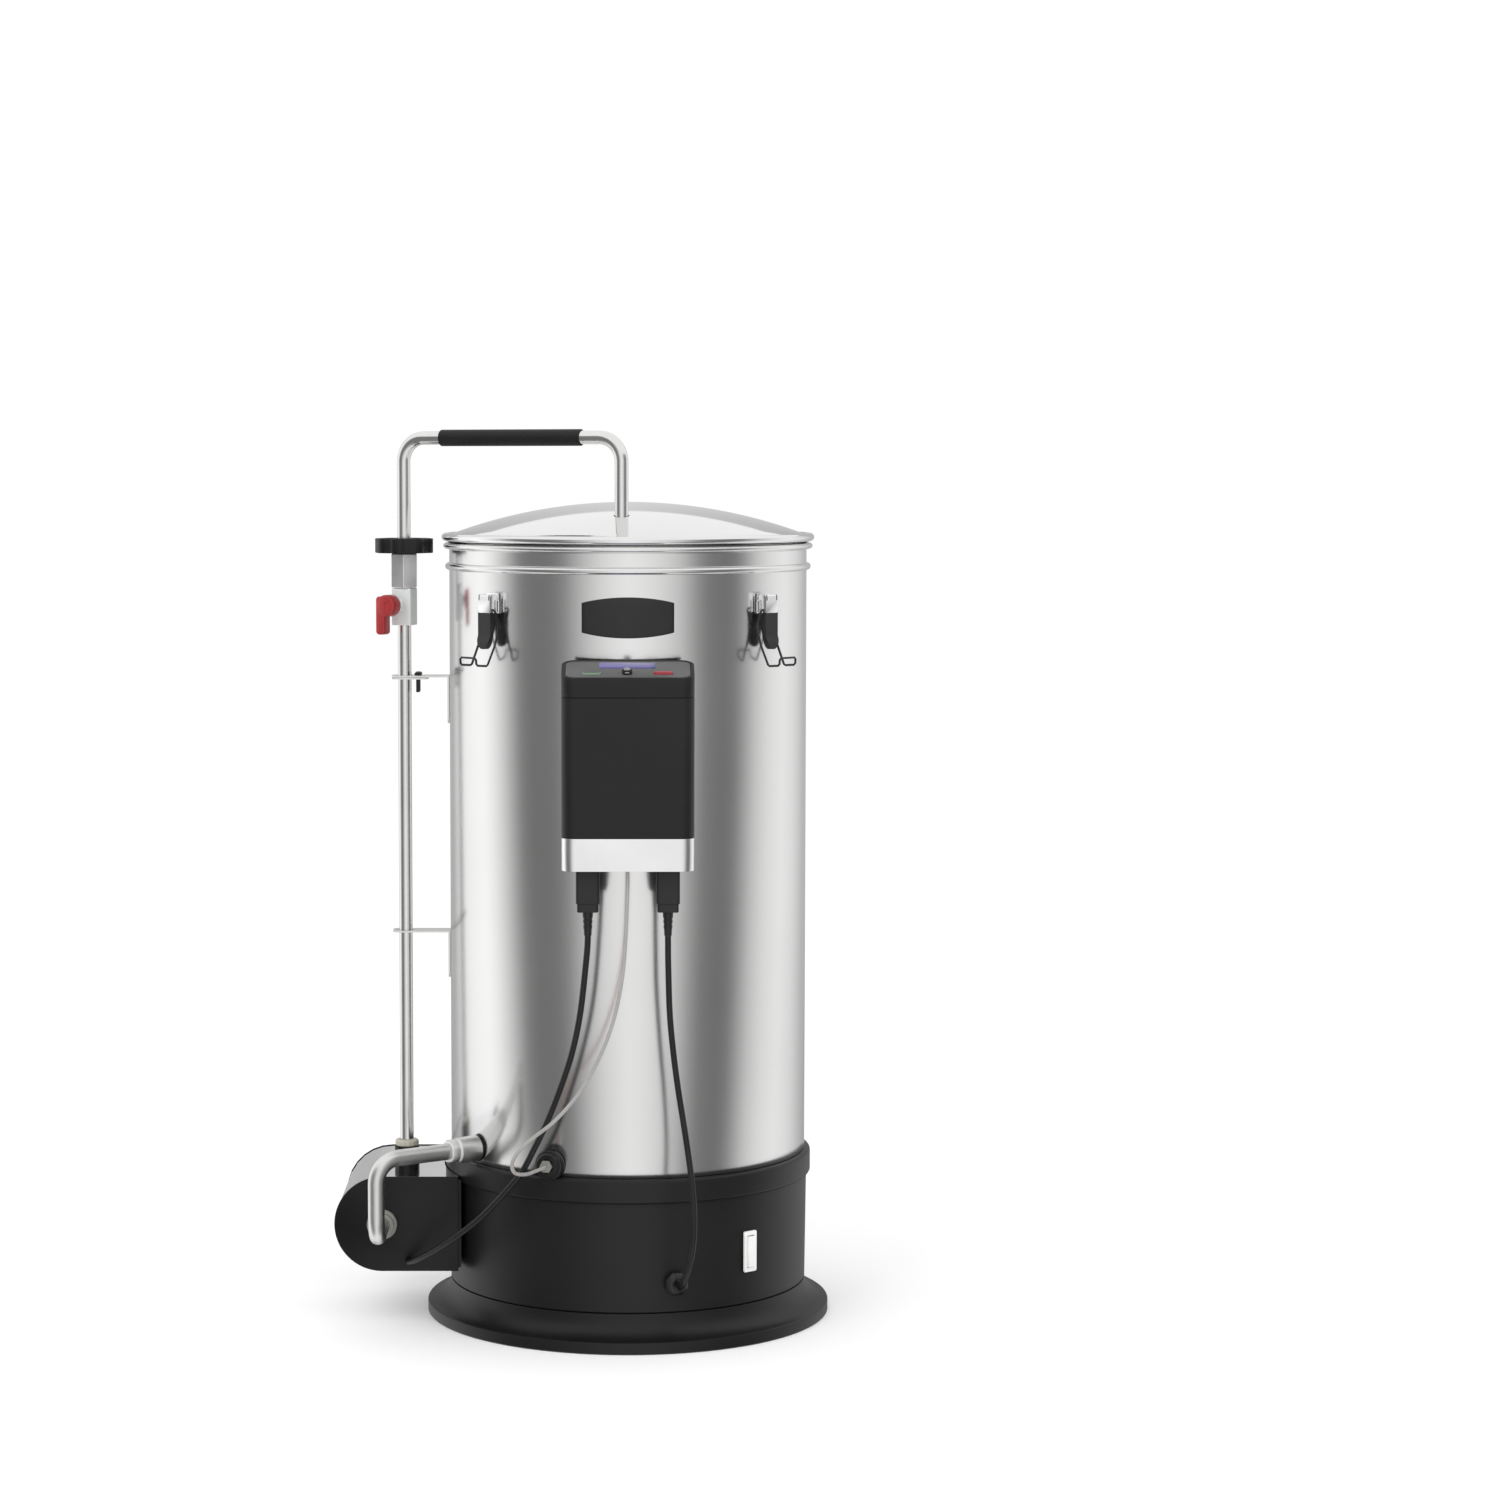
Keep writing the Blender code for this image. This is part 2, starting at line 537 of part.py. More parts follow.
# ---- grain basket ---------------------------------------------------------
def basket():
    """A lift-out basket with two drilled plates and an overflow tube."""
    top = BASKET_Z + BASKET_HEIGHT
    inner = BASKET_RADIUS - BASKET_WALL
    body = turned("grain_basket", [
        (inner - 0.009, BASKET_Z), (BASKET_RADIUS, BASKET_Z), (BASKET_RADIUS, top - 0.003),
        (BASKET_RADIUS + 0.0045, top - 0.003), (BASKET_RADIUS + 0.0045, top), (inner, top),
        (inner, BASKET_Z + BASKET_WALL), (inner - 0.009, BASKET_Z + BASKET_WALL)], "steel", ring=True)
    for turn in (30.0, 150.0, 270.0):
        leg = block("basket_leg", (-0.006, -0.002, FLOOR_Z + GAP), (0.006, 0.002, BASKET_Z + 0.0005),
                    "steel", Matrix.Rotation(math.radians(turn), 4, "Z") @ at(inner - 0.0045, 0.0, 0.0)
                    @ Matrix.Rotation(math.radians(90.0), 4, "Z"))
        weld(body, leg)
    hole = OVERFLOW_RADIUS + GAP
    for name, height in (("basket_bottom_plate", BASKET_Z + BASKET_WALL + GAP),
                         ("basket_top_plate", BASKET_Z + TOP_PLATE_RISE)):
        turned(name, [(hole, height), (inner - 0.0006, height), (inner - 0.0006, height + SHEET),
                      (hole, height + SHEET)], "steel", ring=True)
    seat = BASKET_Z + BASKET_WALL + 2.0 * GAP + SHEET
    bore = OVERFLOW_RADIUS - BASKET_WALL
    turned("overflow_pipe", [
        (bore, BASKET_Z - 0.002), (OVERFLOW_RADIUS, BASKET_Z - 0.002), (OVERFLOW_RADIUS, seat),
        (0.018, seat), (0.018, seat + SHEET), (OVERFLOW_RADIUS, seat + SHEET),
        (OVERFLOW_RADIUS, BASKET_Z + TOP_PLATE_RISE + 0.016),
        (bore, BASKET_Z + TOP_PLATE_RISE + 0.016)], "steel", None, 16, ring=True)


# ---- lid ------------------------------------------------------------------
LID_HOLE = PIPE_RADIUS + 0.0008


def lid():
    """A domed lid with a rolled edge and a skirt that drops into the kettle."""
    edge = RIM_Z + GAP
    rim = KETTLE_RADIUS + 0.0020
    shoulder = edge + 0.0055
    radii = [rim * k / 4 for k in range(5)]
    dome = [(r, shoulder + math.sqrt(DOME_CURVE ** 2 - r * r) - math.sqrt(DOME_CURVE ** 2 - rim ** 2))
            for r in radii]
    drop = KETTLE_RADIUS - KETTLE_WALL - 0.0010
    inside = [(min(r, drop - KETTLE_WALL), z - KETTLE_WALL) for r, z in reversed(dome)]
    inside[0] = (drop - KETTLE_WALL, inside[0][1] - 0.0002)
    shell = turned("lid_dome", [
        *dome, *bead(rim + 0.0008, edge + 0.0008, edge + 0.0078, 0.0038)[::-1],
        (rim - 0.002, edge), (drop, edge), (drop, edge - 0.012), (drop - KETTLE_WALL, edge - 0.012),
        *inside], "steel")
    cut(shell, rod("lid_hole", LID_HOLE, RIM_Z - 0.02, BAR_Z, place=at(RETURN_X, RETURN_Y, 0.0), steps=20))


# ---- return pipe, wing nut and valve --------------------------------------
def return_pipe():
    """The pipe that carries wort from the valve back over the lid."""
    path = bent_path([(RISER_X, 0.0, HEX_TOP - 0.012), (RISER_X, 0.0, BAR_Z), (RETURN_X, RETURN_Y, BAR_Z),
                      (RETURN_X, RETURN_Y, RIM_Z - 0.055)], RETURN_BEND)
    tube("return_pipe", path, PIPE_RADIUS, PIPE_RADIUS - PIPE_WALL, "steel")
    middle = 0.5 * (RISER_X + RETURN_X)
    slant = Matrix.Rotation(math.atan2(RETURN_Y, RETURN_X - RISER_X), 4, "Z")
    along = (Matrix.Translation((middle, 0.5 * RETURN_Y, BAR_Z)) @ slant
             @ Matrix.Rotation(math.radians(90.0), 4, "Y"))
    half = 0.5 * GRIP_LENGTH
    turned("grip_sleeve", [
        (PIPE_RADIUS + GAP, -half), (GRIP_RADIUS - 0.0006, -half), (GRIP_RADIUS, -half + 0.0008),
        (GRIP_RADIUS, half - 0.0008), (GRIP_RADIUS - 0.0006, half), (PIPE_RADIUS + GAP, half)],
        "black_rubber", along, 16, ring=True)


def wing_nut():
    """A lobed hand nut, captive on the return pipe."""
    lobes = [(KNOB_RADIUS - 0.0013 + 0.0013 * math.cos(8.0 * t)) for t in
             (2.0 * math.pi * k / 48 for k in range(48))]
    outline = [(r * math.cos(2.0 * math.pi * k / 48), r * math.sin(2.0 * math.pi * k / 48))
               for k, r in enumerate(lobes)]
    nut = extruded("wing_nut", outline, KNOB_TOP - KNOB_HEIGHT, KNOB_TOP, "black_plastic",
                   at(RISER_X, 0.0, 0.0))
    cut(nut, rod("nut_bore", PIPE_RADIUS + GAP, KNOB_TOP - 0.03, KNOB_TOP + 0.01,
                 place=at(RISER_X, 0.0, 0.0), steps=12))


def hex_coupling():
    corner = 0.5 * HEX_FLATS / math.cos(math.pi / 6)
    place = at(RISER_X, 0.0, 0.0) @ Matrix.Rotation(math.radians(30.0), 4, "Z")
    body = rod("hex_coupling", corner, HEX_TOP - HEX_HEIGHT, HEX_TOP, "steel", place, 6)
    socket = HEX_TOP - 0.012 - GAP
    bore = turned("hex_bore", [
        (0.0, HEX_TOP - HEX_HEIGHT - 0.01), (0.0045, HEX_TOP - HEX_HEIGHT - 0.01), (0.0045, socket),
        (PIPE_RADIUS + GAP, socket), (PIPE_RADIUS + GAP, HEX_TOP + 0.01), (0.0, HEX_TOP + 0.01)],
        "steel", at(RISER_X, 0.0, 0.0), 12)
    cut(body, bore)


STEM_FRAME = at(RISER_X, 0.0, 0.0) @ outward(STEM_AZIMUTH, 0.0, VALVE_Z)
BALL_RADIUS = 0.0073
STEM_RADIUS = 0.003


def valve_body():
    """The ball valve's housing, open from end to end."""
    centre = at(RISER_X, 0.0, 0.0)
    body = rod("valve_body", 0.0090, VALVE_BOTTOM, VALVE_TOP, "chrome", centre, 16)
    half = 0.0075
    weld(body, block("valve_flats", (-half, -half, VALVE_BOTTOM + 0.004), (half, half, VALVE_TOP - 0.004),
                     "chrome", centre @ Matrix.Rotation(math.radians(STEM_AZIMUTH), 4, "Z")))
    weld(body, rod("valve_boss", 0.0065, 0.0, 0.0160, "chrome", STEM_FRAME, 12))
    socket = VALVE_BOTTOM + 0.006
    chamber = BALL_RADIUS + 0.0005
    cut(body, turned("valve_bore", [
        (0.0, VALVE_BOTTOM - 0.01), (RISER_RADIUS + GAP, VALVE_BOTTOM - 0.01), (RISER_RADIUS + GAP, socket),
        (0.0045, socket), (0.0045, VALVE_Z - chamber), (chamber, VALVE_Z - chamber),
        (chamber, VALVE_Z + chamber), (0.0045, VALVE_Z + chamber), (0.0045, VALVE_TOP + 0.01),
        (0.0, VALVE_TOP + 0.01)], "steel", centre @ Matrix.Rotation(0.1, 4, "Z"), 12))
    cut(body, rod("stem_hole", STEM_RADIUS + GAP, 0.004, 0.020, place=STEM_FRAME, steps=12))


def valve_ball():
    """The bored ball and its stem; both turn with the lever."""
    turns = [math.radians(-90.0 + 180.0 * k / 8) for k in range(9)]
    ball = turned("valve_ball", [(BALL_RADIUS * max(math.cos(t), 0.0), BALL_RADIUS * math.sin(t))
                                 for t in turns], "chrome", STEM_FRAME, 16)
    weld(ball, rod("stem", STEM_RADIUS, 0.005, LEVER_REACH - 0.001, place=STEM_FRAME, steps=12))
    cut(ball, rod("ball_bore", 0.0042, VALVE_Z - 0.012, VALVE_Z + 0.012, place=at(RISER_X, 0.0, 0.0),
                  steps=12))


def valve_lever():
    """A coated lever with a round hub, hanging down beside the riser when open."""
    hub = STEM_FRAME @ at(0.0, 0.0, LEVER_REACH)
    lever = rod("valve_lever", 0.0095, -0.006, 0.006, "red_coat", hub, 24)
    arm = block("lever_arm", (-0.0095, -LEVER_LENGTH, -0.004), (-0.0005, 0.0085, 0.006), "red_coat", hub)
    weld(lever, arm)
    cut(lever, rod("lever_socket", STEM_RADIUS + GAP, -0.012, -0.0005, place=hub, steps=12))
    cut(lever, rod("lever_recess", 0.0028, 0.004, 0.012, place=hub, steps=12))


def riser():
    """The tall pipe beside the kettle and the ring that seals it to the pump."""
    path = [(RISER_X, 0.0, BOSS_TOP - 0.018), (RISER_X, 0.0, VALVE_BOTTOM + 0.006 - GAP)]
    tube("riser_pipe", path, RISER_RADIUS, RISER_RADIUS - PIPE_WALL, "steel")
    bore = RISER_RADIUS + GAP
    turned("riser_seal", [
        (bore, BOSS_TOP + GAP), (0.0096, BOSS_TOP + GAP), (0.0103, BOSS_TOP + 0.0014),
        (0.0103, BOSS_TOP + 0.0046), (0.0094, BOSS_TOP + 0.0058), (bore, BOSS_TOP + 0.0058)],
        "silicone", at(RISER_X, 0.0, 0.0), 14, ring=True)


# ---- wall brackets --------------------------------------------------------
BRACKET_WIDTH = 0.020
BRACKET_LEG = 0.042
BRACKET_NOSE = 0.0110
SCREW_X = RISER_X + 0.0118
SCREW_Y = 0.0062


def wall_bracket(name, top):
    """A bent sheet bracket: a leg on the kettle wall and a plate round the riser."""
    wall = -(KETTLE_RADIUS + GAP)
    half = 0.5 * BRACKET_WIDTH
    nose = RISER_X - BRACKET_NOSE
    plate = extruded(name, [(wall, -half), (wall, half), (nose + 0.003, half), (nose, half - 0.003),
                            (nose, -half + 0.003), (nose + 0.003, -half)], top - SHEET, top, "steel")
    leg = [(half, 0.0), (half, BRACKET_LEG - half)]
    leg += arc((0.0, BRACKET_LEG - half), half, 0.0, 180.0, 8) + [(-half, 0.0)]
    down = Matrix(((0.0, 0.0, -1.0), (1.0, 0.0, 0.0), (0.0, -1.0, 0.0))).to_4x4()
    down.translation = (wall, 0.0, top)
    weld(plate, extruded("bracket_leg", leg, 0.0, SHEET, "steel", down))
    cut(plate, rod("bracket_hole", RISER_RADIUS + 0.0006, top - 0.01, top + 0.01,
                   place=at(RISER_X, 0.0, 0.0)))
    return plate


def riser_clamp():
    """The upper bracket, its clamp plate and the two screws that draw them together."""
    upper = wall_bracket("upper_bracket", UPPER_BRACKET_Z)
    under = UPPER_BRACKET_Z - SHEET - GAP
    nose = RISER_X - BRACKET_NOSE
    plate = extruded("clamp_plate", [(nose + 0.002, -0.0095), (nose + 0.030, -0.0095),
                                     (nose + 0.032, 0.0), (nose + 0.030, 0.0095), (nose + 0.002, 0.0095),
                                     (nose, 0.0)], under - SHEET, under, "steel")
    cut(plate, rod("clamp_hole", RISER_RADIUS + 0.0006, under - 0.01, under + 0.01,
                   place=at(RISER_X, 0.0, 0.0)))
    for name, y in (("clamp_screw_front", -SCREW_Y), ("clamp_screw_back", SCREW_Y)):
        place = at(SCREW_X, y, UPPER_BRACKET_Z)
        for piece in (upper, plate):
            cut(piece, rod("screw_hole", 0.0016 + GAP, -0.02, 0.01, place=place, steps=12))
        turned(name, [
            (0.0, -0.0145), (0.0016, -0.0145), (0.0016, GAP), (0.0031, GAP), (0.0031, 0.0018),
            (0.0020, 0.0028), (0.0, 0.0028)], "black_plastic", place, 12)


# ---- pump -----------------------------------------------------------------


def pump_outline(inset):
    """The pump box seen from the front: a half round on the left, straight to the right."""
    radius = PUMP_ARC - inset
    return [(PUMP_RIGHT, -radius)] + [(PUMP_RIGHT, radius)] + arc((PUMP_X, 0.0), radius, 90.0, 270.0, 14)


def pump_box():
    """Front plate, bright wrap band, and the chassis: back plate with a saddle on the skirt."""
    face = facing_front(0.0, 0.0, PUMP_Z)
    front = extruded("pump_front_plate", pump_outline(0.0), -PUMP_FRONT - SHEET, -PUMP_FRONT,
                     "black_plastic", face)
    cut(front, rod("inlet_hole", INLET_TUBE + GAP, 0.05, 0.09, place=facing_front(PUMP_X, 0.0, PUMP_Z)))
    cut(front, rod("cord_hole", CORD_RADIUS + GAP, 0.05, 0.09,
                   place=facing_front(PUMP_CORD_X, 0.0, PUMP_CORD_Z), steps=12))

    outer = pump_outline(0.0006)
    inner = pump_outline(0.0006 + SHEET)
    outline = outer[1:] + [outer[0]] + [inner[0]] + inner[:1:-1] + [inner[1]]
    band = extruded("pump_band", outline, -PUMP_BACK + SHEET + GAP, -PUMP_FRONT - SHEET - GAP,
                    "chrome", face)
    cut(band, rod("band_scoop", HUG_RADIUS, 0.0, 0.2, place=at(), steps=96))
    cut(band, rod("boss_hole", PUMP_BOSS + GAP, PUMP_TOP - 0.01, PUMP_TOP + 0.01,
                  place=at(RISER_X, 0.0, 0.0), steps=20))

    chassis = extruded("pump_chassis", pump_outline(0.0), -PUMP_BACK, -PUMP_BACK + SHEET,
                       "black_plastic", face)
    reach = -PUMP_FRONT - SHEET - GAP
    near = [math.degrees(math.asin(reach / HUG_RADIUS)), math.degrees(math.asin(reach / (HUG_RADIUS + 0.009)))]
    far = [math.degrees(math.asin((PUMP_BACK - 0.0008) / r)) for r in (HUG_RADIUS, HUG_RADIUS + 0.009)]
    saddle = arc((0.0, 0.0), HUG_RADIUS, 180.0 + near[0], 180.0 - far[0], 20)
    saddle += arc((0.0, 0.0), HUG_RADIUS + 0.009, 180.0 - far[1], 180.0 + near[1], 20)
    weld(chassis, extruded("saddle", saddle, PUMP_BOTTOM + 0.003, PUMP_TOP - 0.003, "black_plastic"))


PUMP_BOSS = 0.0108
INLET_TUBE = 0.0083
PUMP_CORD_X = RISER_X + 0.0053
PUMP_CORD_Z = 0.0575


def pump():
    """Volute with its top boss, impeller on its shaft, and the motor behind."""
    axis = facing_front(PUMP_X, 0.0, PUMP_Z)
    case = 0.705 * PUMP_ARC
    chamber = case - 0.0035
    volute = turned("pump_volute", [
        (0.0, -0.012), (case, -0.012), (case, 0.012), (0.0, 0.012)], "black_plastic", axis, 18)
    weld(volute, rod("volute_boss", PUMP_BOSS, PUMP_Z + 0.008, BOSS_TOP, "black_plastic",
                     at(RISER_X, 0.0, 0.0), 14))
    cut(volute, rod("volute_chamber", chamber, -0.0095, 0.0095, place=axis, steps=18))
    cut(volute, rod("volute_mouth", INLET_RADIUS, 0.005, 0.020, place=axis))
    cut(volute, rod("shaft_hole", 0.0024, -0.020, -0.005, place=axis, steps=12))
    riser_end = BOSS_TOP - 0.018 - GAP
    cut(volute, turned("volute_riser_bore", [
        (0.0, PUMP_Z + 0.004), (0.0045, PUMP_Z + 0.004), (0.0045, riser_end), (RISER_RADIUS + GAP, riser_end),
        (RISER_RADIUS + GAP, BOSS_TOP + 0.01), (0.0, BOSS_TOP + 0.01)], "steel", at(RISER_X, 0.0, 0.0), 12))

    wheel_radius = chamber - 0.002
    vanes = []
    for k in range(6):
        for turn, radius in ((0.0, 0.0070), (12.0, wheel_radius), (18.0, wheel_radius), (16.0, 0.0070)):
            a = math.radians(60.0 * k + turn)
            vanes.append((radius * math.cos(a), radius * math.sin(a)))
    wheel = extruded("pump_impeller", vanes, -0.002, 0.006, "black_plastic", axis)
    weld(wheel, rod("impeller_disc", wheel_radius + 0.0005, -0.0045, -0.0015, place=axis, steps=24))
    weld(wheel, rod("impeller_shaft", 0.0018, -0.030, 0.0, place=axis, steps=12))

    motor = turned("pump_motor", [
        (0.0, -PUMP_BACK + SHEET + GAP), (case - 0.005, -PUMP_BACK + SHEET + GAP),
        (case - 0.0025, -PUMP_BACK + SHEET + 0.004), (case - 0.0025, -0.0170), (case - 0.0055, -0.0123),
        (0.0, -0.0123)],
        "steel", axis, 20)
    cut(motor, rod("motor_bore", 0.0024, -0.034, 0.0, place=axis, steps=12))


def inlet():
    """The bent pipe from the kettle's port to the pump, and its threaded union."""
    start = PORT_FRAME @ Vector((0.0, 0.0, 0.004))
    path = bent_path([start, (PUMP_X, INLET_Y, OUTLET_Z), (PUMP_X, INLET_Y, PUMP_Z),
                      (PUMP_X, PUMP_FRONT + 0.006, PUMP_Z)], INLET_BEND)
    tube("inlet_pipe", path, INLET_RADIUS, INLET_RADIUS - PIPE_WALL, "steel")
    skin = -PUMP_FRONT + GAP
    bore = INLET_RADIUS + GAP
    turned("inlet_union", [
        (bore, 0.0123), (INLET_TUBE, 0.0123), (INLET_TUBE, skin), (0.0130, skin), (0.0130, skin + 0.0030),
        (0.0122, skin + 0.0040), (0.0104, skin + 0.0042), (0.0104, skin + 0.0085), (bore, skin + 0.0090)],
        "grey_fitting", facing_front(PUMP_X, 0.0, PUMP_Z), 16, ring=True)


# ---- controller -----------------------------------------------------------
CONTROL_MIDDLE = 0.5 * (CONTROL_Y + CONTROL_BACK)
PANEL_CENTRE_Z = CONTROL_TOP + 0.5 * CONTROL_DEPTH * math.tan(CONTROL_SLOPE)
PANEL_FRAME = at(0.0, CONTROL_MIDDLE, PANEL_CENTRE_Z) @ Matrix.Rotation(CONTROL_SLOPE, 4, "X")
PANEL_PLATE = 0.0012
PLUG_DEPTH = 0.0145
SOCKET_Y = CONTROL_MIDDLE - 0.004


def control_case(name, low, high, inset, coat):
    """One storey of the controller's case, as a solid with round corners."""
    outline = rounded_outline(CONTROL_WIDTH - 2.0 * inset, CONTROL_DEPTH - 2.0 * inset,
                              CONTROL_CORNER - inset)
    return extruded(name, outline, low, high, coat, at(0.0, CONTROL_MIDDLE, 0.0))


def controller():
    """Tray with a bright band, plain shell, and a sloped cap that carries the panel."""
    tray_top = CONTROL_BOTTOM + CONTROL_BAND
    tray = control_case("controller_band", CONTROL_BOTTOM, tray_top, 0.0, "aluminium")
    cut(tray, control_case("tray_hollow", CONTROL_BOTTOM + CONTROL_WALL, tray_top + 0.01, CONTROL_WALL,
                           "steel"))
    for x in (-0.5 * PLUG_SPACING, 0.5 * PLUG_SPACING):
        cut(tray, block("socket_hole", (x - 0.0085, SOCKET_Y - 0.006, CONTROL_BOTTOM - 0.01),
                        (x + 0.0085, SOCKET_Y + 0.006, CONTROL_BOTTOM + 0.01), "steel"))
    cut(tray, rod("cable_hole", SENSOR_CORD_RADIUS + GAP, CONTROL_BOTTOM - 0.01, CONTROL_BOTTOM + 0.01,
                  place=at(SENSOR_EXIT_X, SENSOR_EXIT_Y, 0.0), steps=12))
    cut(tray, block("mains_inlet_recess", (-0.0105, CONTROL_BACK - 0.020, CONTROL_BOTTOM - 0.01),
                    (0.0105, CONTROL_BACK - 0.007, CONTROL_BOTTOM + 0.01), "steel"))

    shell = control_case("controller_shell", tray_top + GAP, CONTROL_SEAM - GAP, 0.0, "black_plastic")
    weld(shell, block("kettle_pad", (-0.039, CONTROL_BACK - 0.001, CONTROL_BOTTOM + 0.040),
                      (0.039, CONTROL_BACK + 0.012, CONTROL_SEAM - 0.004), "black_plastic"))
    cut(shell, control_case("shell_hollow", CONTROL_BOTTOM, CONTROL_SEAM + 0.01, CONTROL_WALL, "steel"))
    cut(shell, rod("kettle_hug", KETTLE_RADIUS + GAP, CONTROL_BOTTOM, CONTROL_TOP, place=at(), steps=96))

    cap = control_case("controller_cap", CONTROL_SEAM, CONTROL_TOP + 0.05, 0.0, "black_plastic")
    above = block("cap_slope", (-0.1, -0.1, 0.0), (0.1, 0.1, 0.1), "steel", PANEL_FRAME)
    cut(cap, above)
    hollow = control_case("cap_hollow", CONTROL_BOTTOM, CONTROL_TOP + 0.05, CONTROL_WALL, "steel")
    cut(hollow, block("hollow_slope", (-0.1, -0.1, -0.0035), (0.1, 0.1, 0.1), "steel", PANEL_FRAME))
    cut(cap, hollow)
    cut(cap, extruded("panel_recess", rounded_outline(PANEL_WIDTH, PANEL_DEPTH, 0.008), -PANEL_PLATE,
                      0.01, "steel", PANEL_FRAME))

    extruded_panel = extruded("panel_plate", rounded_outline(PANEL_WIDTH - 2.0 * GAP, PANEL_DEPTH - 2.0 * GAP,
                                                             0.008 - GAP),
                              -PANEL_PLATE + GAP, 0.0002, "grey_panel", PANEL_FRAME)
    window = (DISPLAY_WIDTH, DISPLAY_DEPTH)
    for piece in (cap, extruded_panel):
        cut(piece, extruded("window_hole", rounded_outline(window[0] + 2 * GAP, window[1] + 2 * GAP, 0.001, 2),
                            -0.01, 0.01, "steel", PANEL_FRAME @ at(DISPLAY_X, DISPLAY_Y, 0.0)))
        for x, outline in BUTTON_HOLES:
            cut(piece, extruded("button_hole", outline, -0.01, 0.01, "steel",
                                PANEL_FRAME @ at(x, BUTTON_Y, 0.0)))

    extruded("display", rounded_outline(*window, 0.001, 2), -0.0045, 0.0001, "lcd",
             PANEL_FRAME @ at(DISPLAY_X, DISPLAY_Y, 0.0))
    for name, x, coat in (("start_button", START_X, "green_rim"), ("stop_button", STOP_X, "red_coat")):
        button = extruded(name, rounded_outline(BUTTON_WIDTH, BUTTON_DEPTH, 0.5 * BUTTON_DEPTH - 0.0001, 3),
                          -0.0042, 0.0012, coat, PANEL_FRAME @ at(x, BUTTON_Y, 0.0))
        weld(button, extruded("button_flange", rounded_outline(BUTTON_WIDTH + 0.002, BUTTON_DEPTH + 0.002,
                                                               0.002, 2),
                              -0.0052, -0.0040, coat, PANEL_FRAME @ at(x, BUTTON_Y, 0.0)))
    turned("select_button", [
        (0.0, -0.0050), (SELECT_RADIUS, -0.0050), (SELECT_RADIUS, 0.0028), (SELECT_RADIUS - 0.0010, 0.0038),
        (0.0, 0.0040)], "chrome", PANEL_FRAME @ at(SELECT_X, BUTTON_Y, 0.0), 20)
    block("control_board", (-0.040, -0.016, -0.0100), (0.040, 0.016, -0.0084), "board_green", PANEL_FRAME)


PANEL_WIDTH = 0.100
PANEL_DEPTH = 0.0400
DISPLAY_WIDTH = 0.0465
DISPLAY_DEPTH = 0.0140
DISPLAY_X = -0.0005
DISPLAY_Y = 0.0095
BUTTON_Y = -0.0110
BUTTON_WIDTH = 0.0155
BUTTON_DEPTH = 0.0050
START_X = -0.0300
STOP_X = 0.0290
SELECT_X = -0.0007
SELECT_RADIUS = 0.0042
BUTTON_HOLES = [
    (START_X, rounded_outline(BUTTON_WIDTH + 2 * GAP, BUTTON_DEPTH + 2 * GAP, 0.5 * BUTTON_DEPTH, 3)),
    (STOP_X, rounded_outline(BUTTON_WIDTH + 2 * GAP, BUTTON_DEPTH + 2 * GAP, 0.5 * BUTTON_DEPTH, 3)),
    (SELECT_X, arc((0.0, 0.0), SELECT_RADIUS + GAP, 0.0, 342.0, 19)),
]
SENSOR_EXIT_X = -0.0003
SENSOR_EXIT_Y = CONTROL_Y + 0.012


def plugs():
    """The two plugs that hang from the controller, each with its strain relief."""
    for name, x in (("pump_plug", -0.5 * PLUG_SPACING), ("heater_plug", 0.5 * PLUG_SPACING)):
        place = at(x, SOCKET_Y, CONTROL_BOTTOM - GAP)
        plug = extruded(name, rounded_outline(PLUG_WIDTH, PLUG_DEPTH, 0.003, 2), -PLUG_LENGTH, 0.0,
                        "black_plastic", place)
        weld(plug, extruded("plug_nose", rounded_outline(0.016, 0.011, 0.002, 2), -0.001, 0.014,
                            "black_plastic", place))
        weld(plug, turned("plug_relief", [
            (0.0, -PLUG_LENGTH - 0.014), (0.0033, -PLUG_LENGTH - 0.014), (0.0040, -PLUG_LENGTH + 0.001),
            (0.0, -PLUG_LENGTH + 0.001)], "black_plastic", place, 12))


# ---- latches --------------------------------------------------------------
LATCH_HALF_WIDTH = 0.008
LATCH_PIN_OUT = 0.0075         # pin axis, out from the kettle wall
BAIL_OUT = 0.0085
BAIL_Z = LATCH_PIVOT_Z - 0.0085
WIRE_RADIUS = 0.0010


